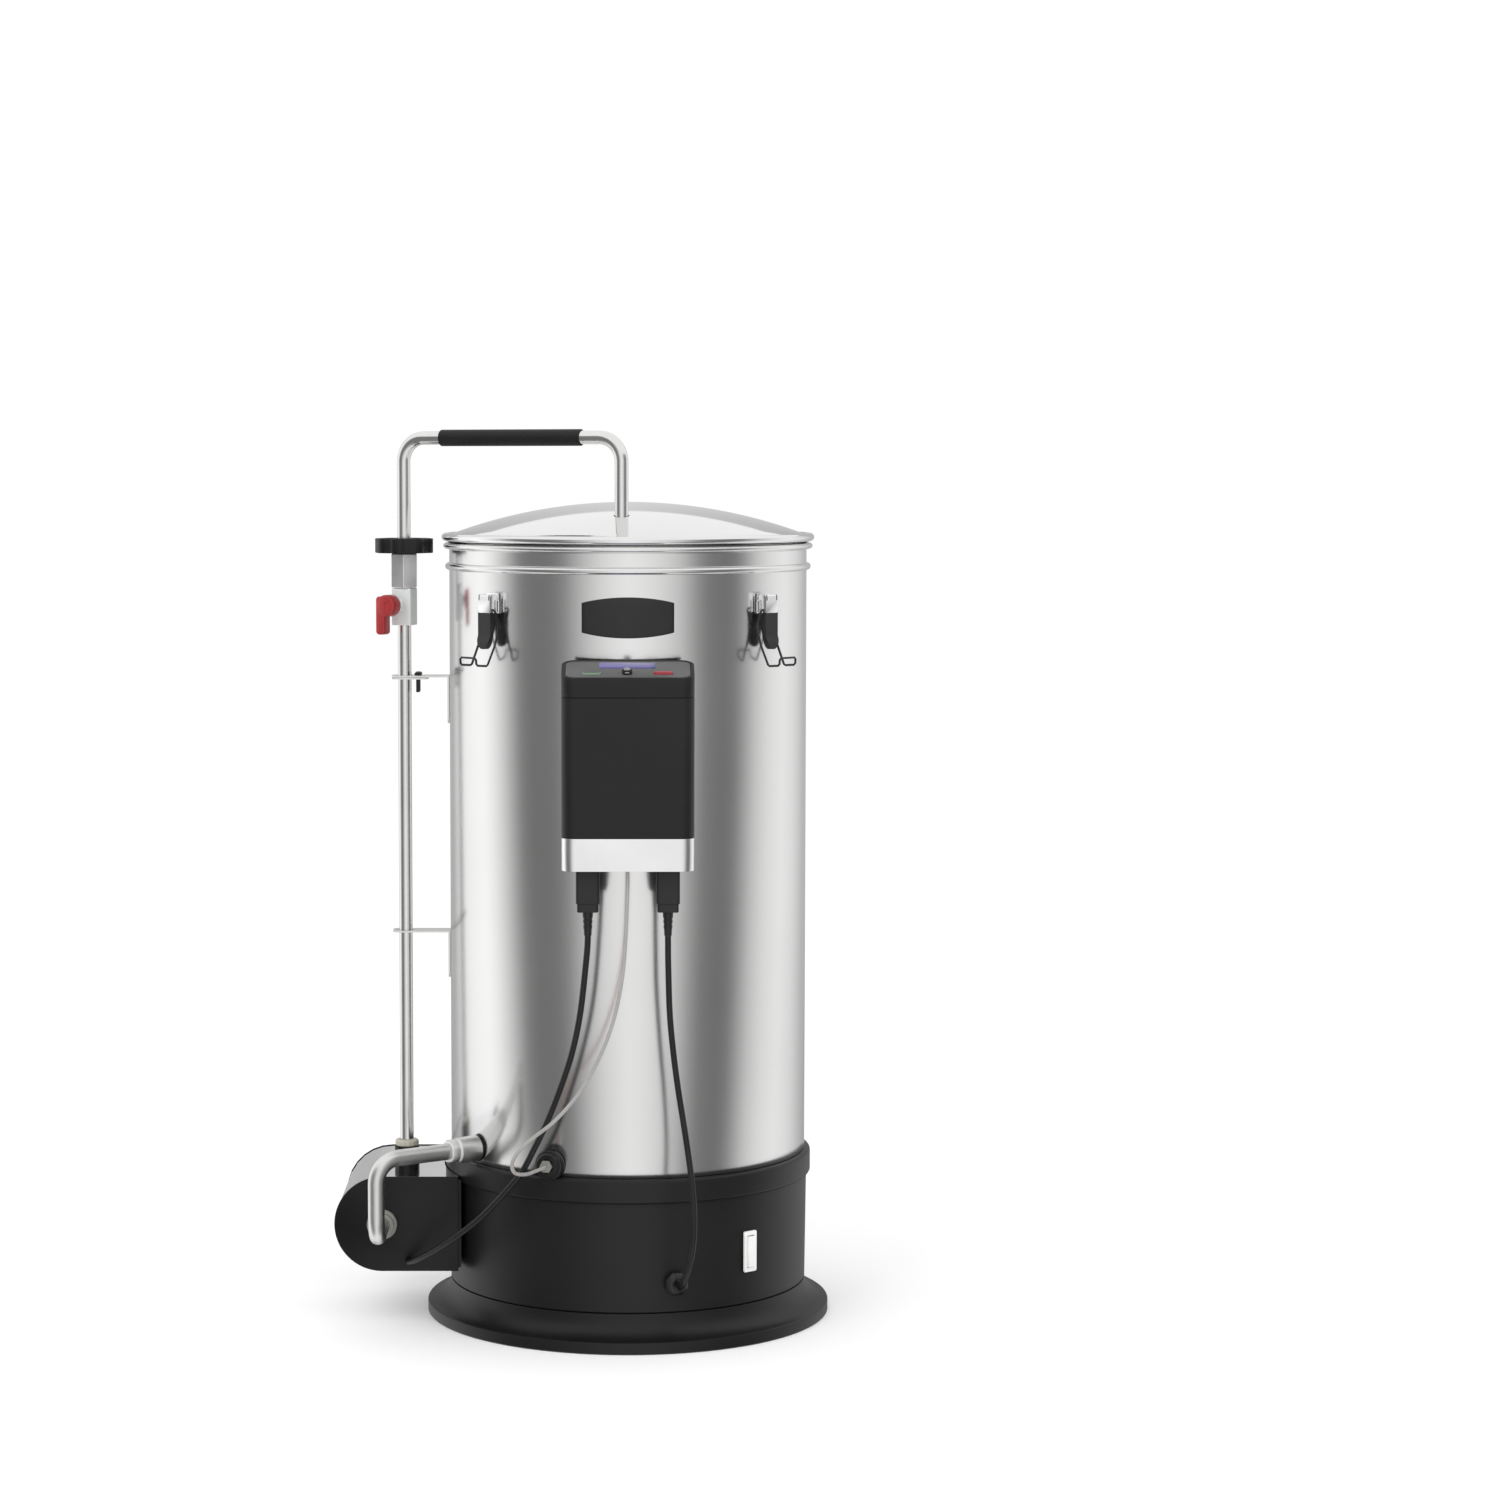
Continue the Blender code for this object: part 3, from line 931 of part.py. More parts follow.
def latch(side, azimuth):
    """A lid clip: a lever on a riveted tongue, and a wire bail that hangs from the lever."""
    frame = outward(azimuth, KETTLE_RADIUS, LATCH_PIVOT_Z)
    plate = block(f"latch_{side}_tongue", (-0.0075, -0.012, 0.0006), (0.0075, 0.0055, 0.0016), "chrome", frame)
    weld(plate, block("tongue", (-0.0035, -0.0018, 0.0010), (0.0035, 0.0018, LATCH_PIN_OUT + 0.0016),
                      "chrome", frame))
    across = frame @ at(0.0, 0.0, LATCH_PIN_OUT) @ Matrix.Rotation(math.radians(90.0), 4, "Y")
    weld(plate, rod("latch_pin", 0.0011, -0.0072, 0.0072, place=across, steps=12))

    low = -0.0415
    profile = [(0.0112, 0.0034), (0.0098, 0.0048), (0.0052, 0.0048), (0.0030, 0.0030), (0.0030, -0.0105),
               (0.0070, -0.0260), (0.0082, -0.0345), (0.0084, low + 0.0015), (0.0100, low),
               (0.0125, low + 0.0010), (0.0135, low + 0.0045), (0.0122, low + 0.0085), (0.0112, low + 0.0120)]
    sideways = frame @ Matrix(((0.0, 0.0, 1.0), (0.0, 1.0, 0.0), (-1.0, 0.0, 0.0))).to_4x4()
    lever = extruded(f"latch_{side}_lever", [(-out, up) for out, up in profile], -LATCH_HALF_WIDTH,
                     LATCH_HALF_WIDTH, "black_plastic", sideways)
    cut(lever, block("lever_channel", (-0.0050, -0.0090, -0.01), (0.0050, 0.0100, LATCH_PIN_OUT + 0.0026),
                     "steel", frame))
    cut(lever, rod("pin_hole", 0.0011 + GAP, -0.0076, 0.0076, place=across, steps=12))
    hinge = frame @ at(0.0, BAIL_Z - LATCH_PIVOT_Z, BAIL_OUT) @ Matrix.Rotation(math.radians(90.0), 4, "Y")
    cut(lever, rod("bail_hole", WIRE_RADIUS + GAP, -0.0100, 0.0100, place=hinge, steps=10))

    half = [(0.0068, BAIL_Z, BAIL_OUT), (0.0104, BAIL_Z, BAIL_OUT), (0.0104, BAIL_Z - 0.014, 0.0035),
            (0.0104, BAIL_Z - 0.030, 0.0085), (0.0100, BAIL_Z - 0.0465, 0.0165),
            (0.0100, BAIL_Z - 0.0457, 0.0285), (0.0100, BAIL_Z - 0.0395, 0.0290)]
    corners = half + [(-x, z, out) for x, z, out in reversed(half)]
    corners = [frame @ Vector((x, z - LATCH_PIVOT_Z, out)) for x, z, out in corners]
    tube(f"latch_{side}_bail", bent_path(corners, 0.0016, 1), WIRE_RADIUS, 0.0, "black_plastic", 6)


# ---- cords ----------------------------------------------------------------
PUMP_CORD = [
    (-0.03305, -0.1840, 0.3594), (-0.0332, -0.1840, 0.3480), (-0.0345, -0.1838, 0.3320),
    (-0.0392, -0.1826, 0.2903), (-0.0460, -0.1806, 0.2566), (-0.0560, -0.1775, 0.2253),
    (-0.0672, -0.1725, 0.1963), (-0.0782, -0.1665, 0.1725), (-0.0885, -0.1600, 0.1520),
    (-0.1030, -0.1530, 0.1330), (-0.1223, -0.1430, 0.1110), (-0.1440, -0.1280, 0.0910),
    (-0.1650, -0.1090, 0.0740), (-0.1810, -0.0925, 0.0625), (-0.1885, -0.0815, 0.0580),
    (-0.1890, -0.0753, 0.0575)]
HEATER_CORD = [
    (0.03305, -0.1840, 0.3594), (0.0331, -0.1840, 0.3480), (0.0333, -0.1840, 0.3300),
    (0.0345, -0.1842, 0.2905), (0.0375, -0.1850, 0.2573), (0.0415, -0.1862, 0.2266),
    (0.0456, -0.1876, 0.2008), (0.0498, -0.1892, 0.1734), (0.0530, -0.1905, 0.1480),
    (0.0548, -0.1915, 0.1227), (0.0542, -0.1918, 0.1000), (0.0512, -0.1895, 0.0800),
    (0.0468, -0.1812, 0.0640), (0.0435, -0.1708, 0.0572), (0.0422, -0.1608, 0.0560)]
SENSOR_CORD = [
    (-0.0003, -0.1910, 0.4087), (-0.0003, -0.1910, 0.3960), (-0.0011, -0.1918, 0.3713),
    (-0.0028, -0.1930, 0.3390), (-0.0058, -0.1938, 0.3130), (-0.0125, -0.1950, 0.2830),
    (-0.0235, -0.1963, 0.2545), (-0.0394, -0.1970, 0.2260), (-0.0600, -0.1962, 0.2020),
    (-0.0780, -0.1925, 0.1870), (-0.0905, -0.1870, 0.1745), (-0.0960, -0.1805, 0.1630),
    (-0.0940, -0.1740, 0.1540), (-0.0855, -0.1660, 0.1510), (-0.0755, -0.1585, 0.1530),
    (-0.0694, -0.1516, 0.1544)]


DRAWN_RADIUS = 0.155           # kettle that the cord points above were laid round
DRAWN_HEIGHT = 0.5292


def laid(points, start, end):
    """Carry a cord's points out with the kettle wall and up with its height.

    The first and last points go to where the cord really starts and ends, and
    the two next to each are eased towards them.
    """
    points = [Vector(point) for point in points]
    route = []
    for point in points:
        above = max(0.0, point.z - BASE_HEIGHT)
        out = Vector((point.x, point.y, 0.0)).normalized() * (KETTLE_RADIUS - DRAWN_RADIUS)
        route.append(point + out + Vector((0.0, 0.0, above * (KETTLE_HEIGHT / DRAWN_HEIGHT - 1.0))))
    first = Vector(start) - route[0]
    last = Vector(end) - route[-1]
    for step, share in enumerate((1.0, 0.9, 0.5)):
        route[step] += share * first
        route[-1 - step] += share * last
    return route


def main():
    for obj in list(bpy.data.objects):
        bpy.data.objects.remove(obj)
    foot_ring()
    base_plate()
    base_skirt()
    mains_switch()
    heater_gland()
    sensor()
    heater()
    kettle()
    outlet()
    badge()
    basket()
    lid()
    return_pipe()
    wing_nut()
    hex_coupling()
    valve_body()
    valve_ball()
    valve_lever()
    riser()
    wall_bracket("lower_bracket", LOWER_BRACKET_Z)
    riser_clamp()
    pump_box()
    pump()
    inlet()
    controller()
    plugs()
    latch("left", -LATCH_AZIMUTH)
    latch("right", LATCH_AZIMUTH)
    relief = CONTROL_BOTTOM - PLUG_LENGTH - 0.0146
    gland_end = GLAND_FRAME @ Vector((0.0, 0.0, 0.0096))
    probe_end = SENSOR_FRAME @ Vector((0.0, 0.0, 0.0119))
    wire("pump_cord", laid(PUMP_CORD, (-0.5 * PLUG_SPACING, SOCKET_Y, relief),
                           (PUMP_CORD_X, PUMP_FRONT - GAP, PUMP_CORD_Z)), CORD_RADIUS, "black_rubber")
    wire("heater_cord", laid(HEATER_CORD, (0.5 * PLUG_SPACING, SOCKET_Y, relief), gland_end),
         CORD_RADIUS, "black_rubber")
    wire("sensor_cable", laid(SENSOR_CORD, (SENSOR_EXIT_X, SENSOR_EXIT_Y, CONTROL_BOTTOM - GAP), probe_end),
         SENSOR_CORD_RADIUS, "silicone")


main()
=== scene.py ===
"""The looks of the electric all in one brewer: its cords, steel, mouldings and clips,
built round the fixed frame, with a white studio."""
import math

import bmesh
import bpy
from mathutils import Matrix, Vector


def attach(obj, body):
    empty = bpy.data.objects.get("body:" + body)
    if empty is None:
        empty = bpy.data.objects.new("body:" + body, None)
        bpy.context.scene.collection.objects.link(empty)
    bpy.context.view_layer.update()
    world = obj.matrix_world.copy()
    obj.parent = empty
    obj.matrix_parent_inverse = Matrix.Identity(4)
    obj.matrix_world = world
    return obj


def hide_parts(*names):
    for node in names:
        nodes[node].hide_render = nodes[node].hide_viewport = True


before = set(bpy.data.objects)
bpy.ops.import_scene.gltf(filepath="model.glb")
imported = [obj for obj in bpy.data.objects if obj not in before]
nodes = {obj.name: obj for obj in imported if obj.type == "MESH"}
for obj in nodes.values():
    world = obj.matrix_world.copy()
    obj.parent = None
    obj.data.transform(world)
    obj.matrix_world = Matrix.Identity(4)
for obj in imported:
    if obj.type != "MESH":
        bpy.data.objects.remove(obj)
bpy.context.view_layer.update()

# ---- sizes ----------------------------------------------------------------
GAP = 0.0003
KETTLE_RADIUS = 0.155
RIM_Z = 0.6737
BASE_HEIGHT = 0.1445
FOOT_RADIUS = 0.176
SEAM_HEIGHT = 0.030
SKIRT_RADIUS = 0.1555
SKIRT_INNER = 0.1525
SPIGOT_RADIUS = 0.1525
SPIGOT_Z = 0.1275
WALL = 0.0012
LID_DOME = 0.440
LID_HOLE = 0.0066
RISER_X = -0.1943
RETURN_X = -0.0053
RETURN_Y = -0.095
BASKET_Z = 0.1800
BASKET_TOP = 0.6400
BAR_Z = 0.7636
PIPE_RADIUS = 0.00575
GRIP_HALF = 0.068
KNOB_TOP = 0.6770
HEX_TOP = 0.6640
VALVE_BOTTOM = 0.6017
VALVE_TOP = 0.6337
VALVE_Z = 0.6193
PUMP_X = -0.2115
PUMP_Z = 0.08945
PUMP_FRONT = -0.075
PUMP_ARC = 0.04115
PUMP_RIGHT = -0.146
INLET_Y = -0.1425
OUTLET_Z = 0.158
CASE_WIDTH = 0.109
CASE_FRONT = -0.203
CASE_BACK = -0.157
CASE_LOW = 0.409
CASE_BAND = 0.436
CASE_SEAM = 0.5515
CASE_TOP = 0.5675
CASE_CORNER = 0.011
CASE_SLOPE = math.radians(15.2)
LATCH_AZIMUTH = 46.5
PIVOT_Z = 0.628
PLUG_X = 0.03305
PLUG_Y = -0.184
MAINS_CORD = 0.0026
PROBE_CORD = 0.0016


# ---- camera ---------------------------------------------------------------
camera_data = bpy.data.cameras.new("camera")
camera_data.lens = 85.62
camera_data.sensor_width = 36.0
camera_data.shift_x = 0.0814
camera = bpy.data.objects.new("camera", camera_data)
bpy.context.collection.objects.link(camera)
camera.location = (0.0, -3.1014, 0.7436)
camera.rotation_euler = (math.pi / 2 - 0.08077, 0.0, 0.0)
bpy.context.scene.camera = camera
bpy.context.scene.view_settings.view_transform = "Standard"


# ---- materials ------------------------------------------------------------
def shade(colour, factor):
    return (*(min(1.0, part * factor) for part in colour), 1.0)


def surface(name, colour, metallic=0.0, roughness=0.4, grain=(600.0, 600.0, 600.0), depth=0.00002,
            swing=0.06, tone=0.08, patch=14.0, **sockets):
    """A Principled finish: fine grain in the bump and roughness, slow patches in the colour."""
    look = bpy.data.materials.new(name)
    look.use_nodes = True
    tree = look.node_tree
    shader = tree.nodes["Principled BSDF"]
    shader.inputs["Metallic"].default_value = metallic
    for socket, value in sockets.items():
        shader.inputs[socket.replace("_", " ")].default_value = value
    place = tree.nodes.new("ShaderNodeTexCoord")
    mapping = tree.nodes.new("ShaderNodeMapping")
    mapping.inputs["Scale"].default_value = grain
    tree.links.new(place.outputs["Object"], mapping.inputs["Vector"])
    fine = tree.nodes.new("ShaderNodeTexNoise")
    fine.inputs["Scale"].default_value = 1.0
    fine.inputs["Detail"].default_value = 3.0
    tree.links.new(mapping.outputs["Vector"], fine.inputs["Vector"])
    slow = tree.nodes.new("ShaderNodeTexNoise")
    slow.inputs["Scale"].default_value = patch
    slow.inputs["Detail"].default_value = 4.0
    tree.links.new(place.outputs["Object"], slow.inputs["Vector"])
    ramp = tree.nodes.new("ShaderNodeValToRGB")
    ramp.color_ramp.elements[0].position = 0.35
    ramp.color_ramp.elements[0].color = shade(colour, 1.0 - tone)
    ramp.color_ramp.elements[1].position = 0.65
    ramp.color_ramp.elements[1].color = shade(colour, 1.0 + tone)
    tree.links.new(slow.outputs["Fac"], ramp.inputs["Fac"])
    tree.links.new(ramp.outputs["Color"], shader.inputs["Base Color"])
    both = tree.nodes.new("ShaderNodeMath")
    both.operation = "ADD"
    tree.links.new(fine.outputs["Fac"], both.inputs[0])
    tree.links.new(slow.outputs["Fac"], both.inputs[1])
    gloss = tree.nodes.new("ShaderNodeMapRange")
    gloss.inputs["From Min"].default_value = 0.6
    gloss.inputs["From Max"].default_value = 1.4
    gloss.inputs["To Min"].default_value = max(0.01, roughness - swing)
    gloss.inputs["To Max"].default_value = roughness + swing
    tree.links.new(both.outputs["Value"], gloss.inputs["Value"])
    tree.links.new(gloss.outputs["Result"], shader.inputs["Roughness"])
    bump = tree.nodes.new("ShaderNodeBump")
    bump.inputs["Strength"].default_value = 1.0
    bump.inputs["Distance"].default_value = depth
    tree.links.new(fine.outputs["Fac"], bump.inputs["Height"])
    tree.links.new(bump.outputs["Normal"], shader.inputs["Normal"])
    return look


ROLLED = (5.0, 5.0, 1400.0)
kettle_steel = surface("kettle_steel", (0.80, 0.80, 0.795), 1.0, 0.18,
                       ROLLED, 0.000004, 0.03, 0.02, 6.0)
lid_steel = surface("lid_steel", (0.82, 0.82, 0.82), 1.0, 0.07, (300.0,) * 3, 0.000002, 0.03, 0.02, 6.0)
pipe_steel = surface("pipe_steel", (0.80, 0.80, 0.79), 1.0, 0.19,
                     (900.0,) * 3, 0.000004, 0.04, 0.03, 30.0)
inner_steel = surface("inner_steel", (0.70, 0.70, 0.69), 1.0, 0.26, ROLLED, 0.000008, 0.05, 0.04, 10.0)
bracket_steel = surface("bracket_steel", (0.74, 0.74, 0.73), 1.0, 0.18,
                        (900.0,) * 3, 0.000006, 0.05, 0.04, 40.0)
hex_steel = surface("hex_steel", (0.92, 0.91, 0.92), 1.0, 0.36,
                    (60.0, 60.0, 2600.0), 0.00001, 0.06, 0.05, 60.0)
fitting_steel = surface("fitting_steel", (0.78, 0.78, 0.77), 1.0, 0.36,
                        (900.0,) * 3, 0.000004, 0.04, 0.03, 30.0)
valve_steel = surface("valve_steel", (0.76, 0.79, 0.78), 0.30, 0.36,
                      (900.0,) * 3, 0.000004, 0.04, 0.03, 30.0)
chrome = surface("chrome", (0.86, 0.86, 0.87), 1.0, 0.05, (700.0,) * 3, 0.000002, 0.02, 0.02, 30.0)
band_alu = surface("band_aluminium", (0.86, 0.86, 0.87), 1.0, 0.17,
                   (1800.0, 1800.0, 30.0), 0.000006, 0.05, 0.03, 20.0)
base_black = surface("base_black", (0.0085, 0.0085, 0.009), 0.0, 0.42,
                     (1500.0,) * 3, 0.00003, 0.05, 0.15, 9.0,
                     Specular_IOR_Level=0.32)
case_black = surface("case_black", (0.0105, 0.0105, 0.0108), 0.0, 0.46,
                     (2200.0,) * 3, 0.00002, 0.04, 0.10, 12.0,
                     Specular_IOR_Level=0.28)
pump_black = surface("pump_black", (0.0060, 0.0060, 0.0063), 0.0, 0.40,
                     (1500.0,) * 3, 0.00002, 0.05, 0.12, 15.0,
                     Specular_IOR_Level=0.30)
plug_black = surface("plug_black", (0.011, 0.011, 0.0112), 0.0, 0.42,
                     (1800.0,) * 3, 0.00002, 0.05, 0.12, 30.0,
                     Specular_IOR_Level=0.4)
coated_black = surface("coated_black", (0.010, 0.010, 0.010), 0.0, 0.30,
                       (900.0,) * 3, 0.00003, 0.06, 0.12, 60.0,
                       Specular_IOR_Level=0.45)
knob_black = surface("knob_black", (0.0055, 0.0055, 0.0055), 0.0, 0.42,
                     (1800.0,) * 3, 0.00004, 0.06, 0.15, 50.0,
                     Specular_IOR_Level=0.35)
grip_rubber = surface("grip_rubber", (0.0065, 0.0065, 0.0065), 0.0, 0.55,
                      (1800.0,) * 3, 0.00004, 0.06, 0.15, 50.0,
                      Specular_IOR_Level=0.35)
grip_black = surface("grip_black", (0.0150, 0.0150, 0.0152), 0.0, 0.46,
                     (1500.0,) * 3, 0.00002, 0.05, 0.10, 30.0,
                     Specular_IOR_Level=0.4)
# Painted sheen: the black plastic pad behind the cap is given a mid grey for the light on its top.
pad_painted_sheen = surface("pad_painted_sheen", (0.20, 0.20, 0.20), 0.0, 0.5, (1500.0,) * 3, 0.00002, 0.05, 0.06, 30.0)
cord_black = surface("cord_black", (0.0085, 0.0085, 0.0088), 0.0, 0.42,
                     (1500.0,) * 3, 0.00003, 0.06, 0.15, 60.0,
                     Specular_IOR_Level=0.4)
silicone_grey = surface("silicone_grey", (0.31, 0.31, 0.31), 0.0, 0.38,
                        (1300.0,) * 3, 0.00002, 0.06, 0.06, 50.0,
                        Subsurface_Weight=0.2)
seal_beige = surface("seal_beige", (0.50, 0.47, 0.40), 0.0, 0.50,
                     (1300.0,) * 3, 0.00003, 0.06, 0.08, 60.0)
union_grey = surface("union_grey", (0.23, 0.23, 0.21), 0.0, 0.42,
                     (1300.0,) * 3, 0.00003, 0.06, 0.08, 60.0)
panel_grey = surface("panel_grey", (0.105, 0.105, 0.105), 0.0, 0.42,
                     (2400.0,) * 3, 0.00001, 0.05, 0.05, 30.0)
green_rim = surface("green_rim", (0.22, 0.36, 0.23), 0.0, 0.30,
                    (2400.0,) * 3, 0.00001, 0.05, 0.05, 30.0)
red_key = surface("red_key", (0.36, 0.03, 0.045), 0.0, 0.30, (2400.0,) * 3, 0.00001, 0.05, 0.06, 30.0)
red_dip = surface("red_dip", (0.34, 0.018, 0.020), 0.0, 0.34, (500.0,) * 3, 0.00006, 0.08, 0.12, 60.0,
                  Coat_Weight=0.3)
switch_white = surface("switch_white", (0.82, 0.82, 0.81), 0.0, 0.28,
                       (1800.0,) * 3, 0.00001, 0.05, 0.02, 30.0)
badge_black = surface("badge_black", (0.012, 0.012, 0.012), 0.0, 0.34,
                      (1800.0,) * 3, 0.00001, 0.05, 0.10, 30.0,
                      Specular_IOR_Level=0.4)
board_green = surface("board_green", (0.02, 0.12, 0.05), 0.0, 0.45,
                      (900.0,) * 3, 0.00001, 0.05, 0.2, 90.0)
element_metal = surface("element_metal", (0.32, 0.28, 0.24), 1.0, 0.36,
                        (900.0,) * 3, 0.00001, 0.08, 0.2, 40.0)


def display_look():
    """A display window: blue-violet, darker towards its right end."""
    look = bpy.data.materials.new("display_glass")
    look.use_nodes = True
    tree = look.node_tree
    shader = tree.nodes["Principled BSDF"]
    shader.inputs["Roughness"].default_value = 0.12
    place = tree.nodes.new("ShaderNodeTexCoord")
    apart = tree.nodes.new("ShaderNodeSeparateXYZ")
    tree.links.new(place.outputs["Object"], apart.inputs["Vector"])
    span = tree.nodes.new("ShaderNodeMapRange")
    span.inputs["From Min"].default_value = -0.0237
    span.inputs["From Max"].default_value = 0.0227
    tree.links.new(apart.outputs["X"], span.inputs["Value"])
    ramp = tree.nodes.new("ShaderNodeValToRGB")
    stops = ramp.color_ramp.elements
    stops[0].color = (0.150, 0.132, 0.37, 1.0)
    stops[1].position, stops[1].color = 0.985, (0.05, 0.05, 0.20, 1.0)
    middle = stops.new(0.90)
    middle.color = (0.132, 0.115, 0.34, 1.0)
    tree.links.new(span.outputs["Result"], ramp.inputs["Fac"])
    tree.links.new(ramp.outputs["Color"], shader.inputs["Base Color"])
    return look


display_glass = display_look()


def sieve_look():
    """Sheet steel punched with a square grid of round holes, drawn as dots of painted shade."""
    look = bpy.data.materials.new("sieve_steel")
    look.use_nodes = True
    tree = look.node_tree
    shader = tree.nodes["Principled BSDF"]
    shader.inputs["Metallic"].default_value = 1.0
    shader.inputs["Roughness"].default_value = 0.28
    place = tree.nodes.new("ShaderNodeTexCoord")
    grid = tree.nodes.new("ShaderNodeTexVoronoi")
    grid.voronoi_dimensions = "2D"
    grid.inputs["Scale"].default_value = 170.0
    grid.inputs["Randomness"].default_value = 0.0
    tree.links.new(place.outputs["Object"], grid.inputs["Vector"])
    ramp = tree.nodes.new("ShaderNodeValToRGB")
    stops = ramp.color_ramp.elements
    # The near-black stop is painted shade where the holes would show the dark beyond.
    stops[0].position, stops[0].color = 0.22, (0.012, 0.012, 0.012, 1.0)
    stops[1].position, stops[1].color = 0.27, (0.72, 0.72, 0.71, 1.0)
    tree.links.new(grid.outputs["Distance"], ramp.inputs["Fac"])
    tree.links.new(ramp.outputs["Color"], shader.inputs["Base Color"])
    return look


sieve_steel = sieve_look()


# ---- making pieces --------------------------------------------------------
def add(operator, name, **spec):
    """Add a primitive by itself and open it for editing."""
    bpy.ops.object.select_all(action="DESELECT")
    operator(**spec)
    piece = bpy.context.object
    piece.name = name
    piece.data.name = name
    bpy.ops.object.transform_apply(location=True, rotation=True, scale=True)
    bpy.ops.object.mode_set(mode="EDIT")
    bpy.ops.mesh.select_mode(type="VERT")
    bpy.ops.mesh.select_all(action="SELECT")
    return piece


def pick(kind, test):
    """Select only the edges, faces or corners that pass a test on their places."""
    bpy.ops.mesh.select_mode(type={"edges": "EDGE", "faces": "FACE", "verts": "VERT"}[kind])
    bpy.ops.mesh.select_all(action="DESELECT")
    mesh = bmesh.from_edit_mesh(bpy.context.object.data)
    for item in getattr(mesh, kind):
        places = [item.co] if kind == "verts" else [vert.co for vert in item.verts]
        if test(places):
            item.select_set(True)
    bmesh.update_edit_mesh(bpy.context.object.data)


def modify(piece, kind, **spec):
    """Add a modifier and apply it."""
    modifier = piece.modifiers.new(kind.lower(), kind)
    for key, value in spec.items():
        setattr(modifier, key, value)
    bpy.ops.object.modifier_apply(modifier=modifier.name)


def close(piece, place=None, edge=0.0, smooth=35.0):
    """Leave edit mode, merge doubles, face outwards, round edges and put in place."""
    bpy.ops.mesh.select_all(action="SELECT")
    bpy.ops.mesh.remove_doubles(threshold=1e-6)
    bpy.ops.mesh.normals_make_consistent(inside=False)
    bpy.ops.object.mode_set(mode="OBJECT")
    if edge:
        modify(piece, "BEVEL", width=edge, segments=2, limit_method="ANGLE", angle_limit=math.radians(40.0))
    if place is not None:
        piece.matrix_world = place
        bpy.ops.object.transform_apply(location=True, rotation=True, scale=True)
    bpy.ops.object.shade_smooth_by_angle(angle=math.radians(smooth))
    return piece


def turned(name, profile, place=None, steps=96, ring=False, smooth=35.0):
    """Draw a profile of (radius, height) corner by corner and spin it round Z."""
    piece = add(bpy.ops.mesh.primitive_plane_add, name, size=0.01)
    bpy.ops.mesh.merge(type="CENTER")
    bpy.ops.transform.translate(value=(profile[0][0], 0.0, profile[0][1]))
    route = list(profile) + ([profile[0]] if ring else [])
    for here, there in zip(route, route[1:]):
        bpy.ops.mesh.extrude_region_move(TRANSFORM_OT_translate={
            "value": (there[0] - here[0], 0.0, there[1] - here[1])})
    bpy.ops.mesh.select_all(action="SELECT")
    bpy.ops.mesh.spin(steps=steps, angle=2.0 * math.pi, center=(0.0, 0.0, 0.0), axis=(0.0, 0.0, 1.0))
    return close(piece, place, smooth=smooth)


def rounded(name, low, high, corner=0.0, place=None, edge=0.0005, steps=8, sides=None):
    """A block with its upright edges rounded off, all or those that pass a test."""
    middle = [0.5 * (a + b) for a, b in zip(low, high)]
    piece = add(bpy.ops.mesh.primitive_cube_add, name, size=1.0, location=middle,
                scale=[b - a for a, b in zip(low, high)])
    if corner:
        pick("edges", lambda ends: abs(ends[0].z - ends[1].z) > 1e-5 and (sides is None or sides(ends[0])))
        bpy.ops.mesh.bevel(offset=corner, segments=steps, affect="EDGES", clamp_overlap=False)
    return close(piece, place, edge)


def pipe(name, corners, radius, bend, wall=0.001, sides=32, steps=10):
    """A tube: extrude a ring along each run and spin it round each bend."""
    corners = [Vector(corner) for corner in corners]
    run = (corners[1] - corners[0]).normalized()
    piece = add(bpy.ops.mesh.primitive_circle_add, name, vertices=sides, radius=radius, location=corners[0],
                rotation=run.to_track_quat("Z", "Y").to_euler())
    here = corners[0]
    for corner, after in zip(corners[1:], corners[2:]):
        onward = (after - corner).normalized()
        turn = run.angle(onward)
        start = corner - run * (bend * math.tan(0.5 * turn))
        bpy.ops.mesh.extrude_region_move(TRANSFORM_OT_translate={"value": start - here})
        axis = run.cross(onward).normalized()
        middle = start + axis.cross(run) * bend
        bpy.ops.mesh.spin(steps=steps, angle=-turn, center=middle, axis=axis)
        here = corner + onward * (bend * math.tan(0.5 * turn))
        run = onward
    bpy.ops.mesh.extrude_region_move(TRANSFORM_OT_translate={"value": corners[-1] - here})
    close(piece, smooth=50.0)
    if wall:
        modify(piece, "SOLIDIFY", thickness=wall, offset=-1.0)
        bpy.ops.object.shade_smooth_by_angle(angle=math.radians(50.0))
    return piece


def cut(piece, tool):
    """Take a tool's shape out of a piece."""
    bpy.ops.object.select_all(action="DESELECT")
    bpy.context.view_layer.objects.active = piece
    piece.select_set(True)
    modify(piece, "BOOLEAN", operation="DIFFERENCE", solver="EXACT", object=tool)
    bpy.data.objects.remove(tool)
    bpy.ops.object.shade_smooth_by_angle(angle=math.radians(35.0))


def join(name, *pieces):
    """Several shapes of one finish as one piece."""
    bpy.ops.object.select_all(action="DESELECT")
    for piece in pieces:
        piece.select_set(True)
    bpy.context.view_layer.objects.active = pieces[0]
    bpy.ops.object.join()
    pieces[0].name = name
    return pieces[0]


def keep(piece, look, slot, body="root", *stands_for):
    """Give a piece its finish, its body, and the nodes that it stands for."""
    piece.data.materials.clear()
    piece.data.materials.append(look)
    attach(piece, body)
    if stands_for:
        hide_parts(*stands_for)
    return piece


def outward(azimuth, radius, height):
    """A frame on the kettle's side: X along the wall, Y up, Z straight out."""
    a = math.radians(azimuth)
    place = Matrix(((math.cos(a), 0.0, math.sin(a)), (math.sin(a), 0.0, -math.cos(a)),
                    (0.0, 1.0, 0.0))).to_4x4()
    place.translation = (radius * math.sin(a), -radius * math.cos(a), height)
    return place


def at(x=0.0, y=0.0, z=0.0):
    return Matrix.Translation((x, y, z))


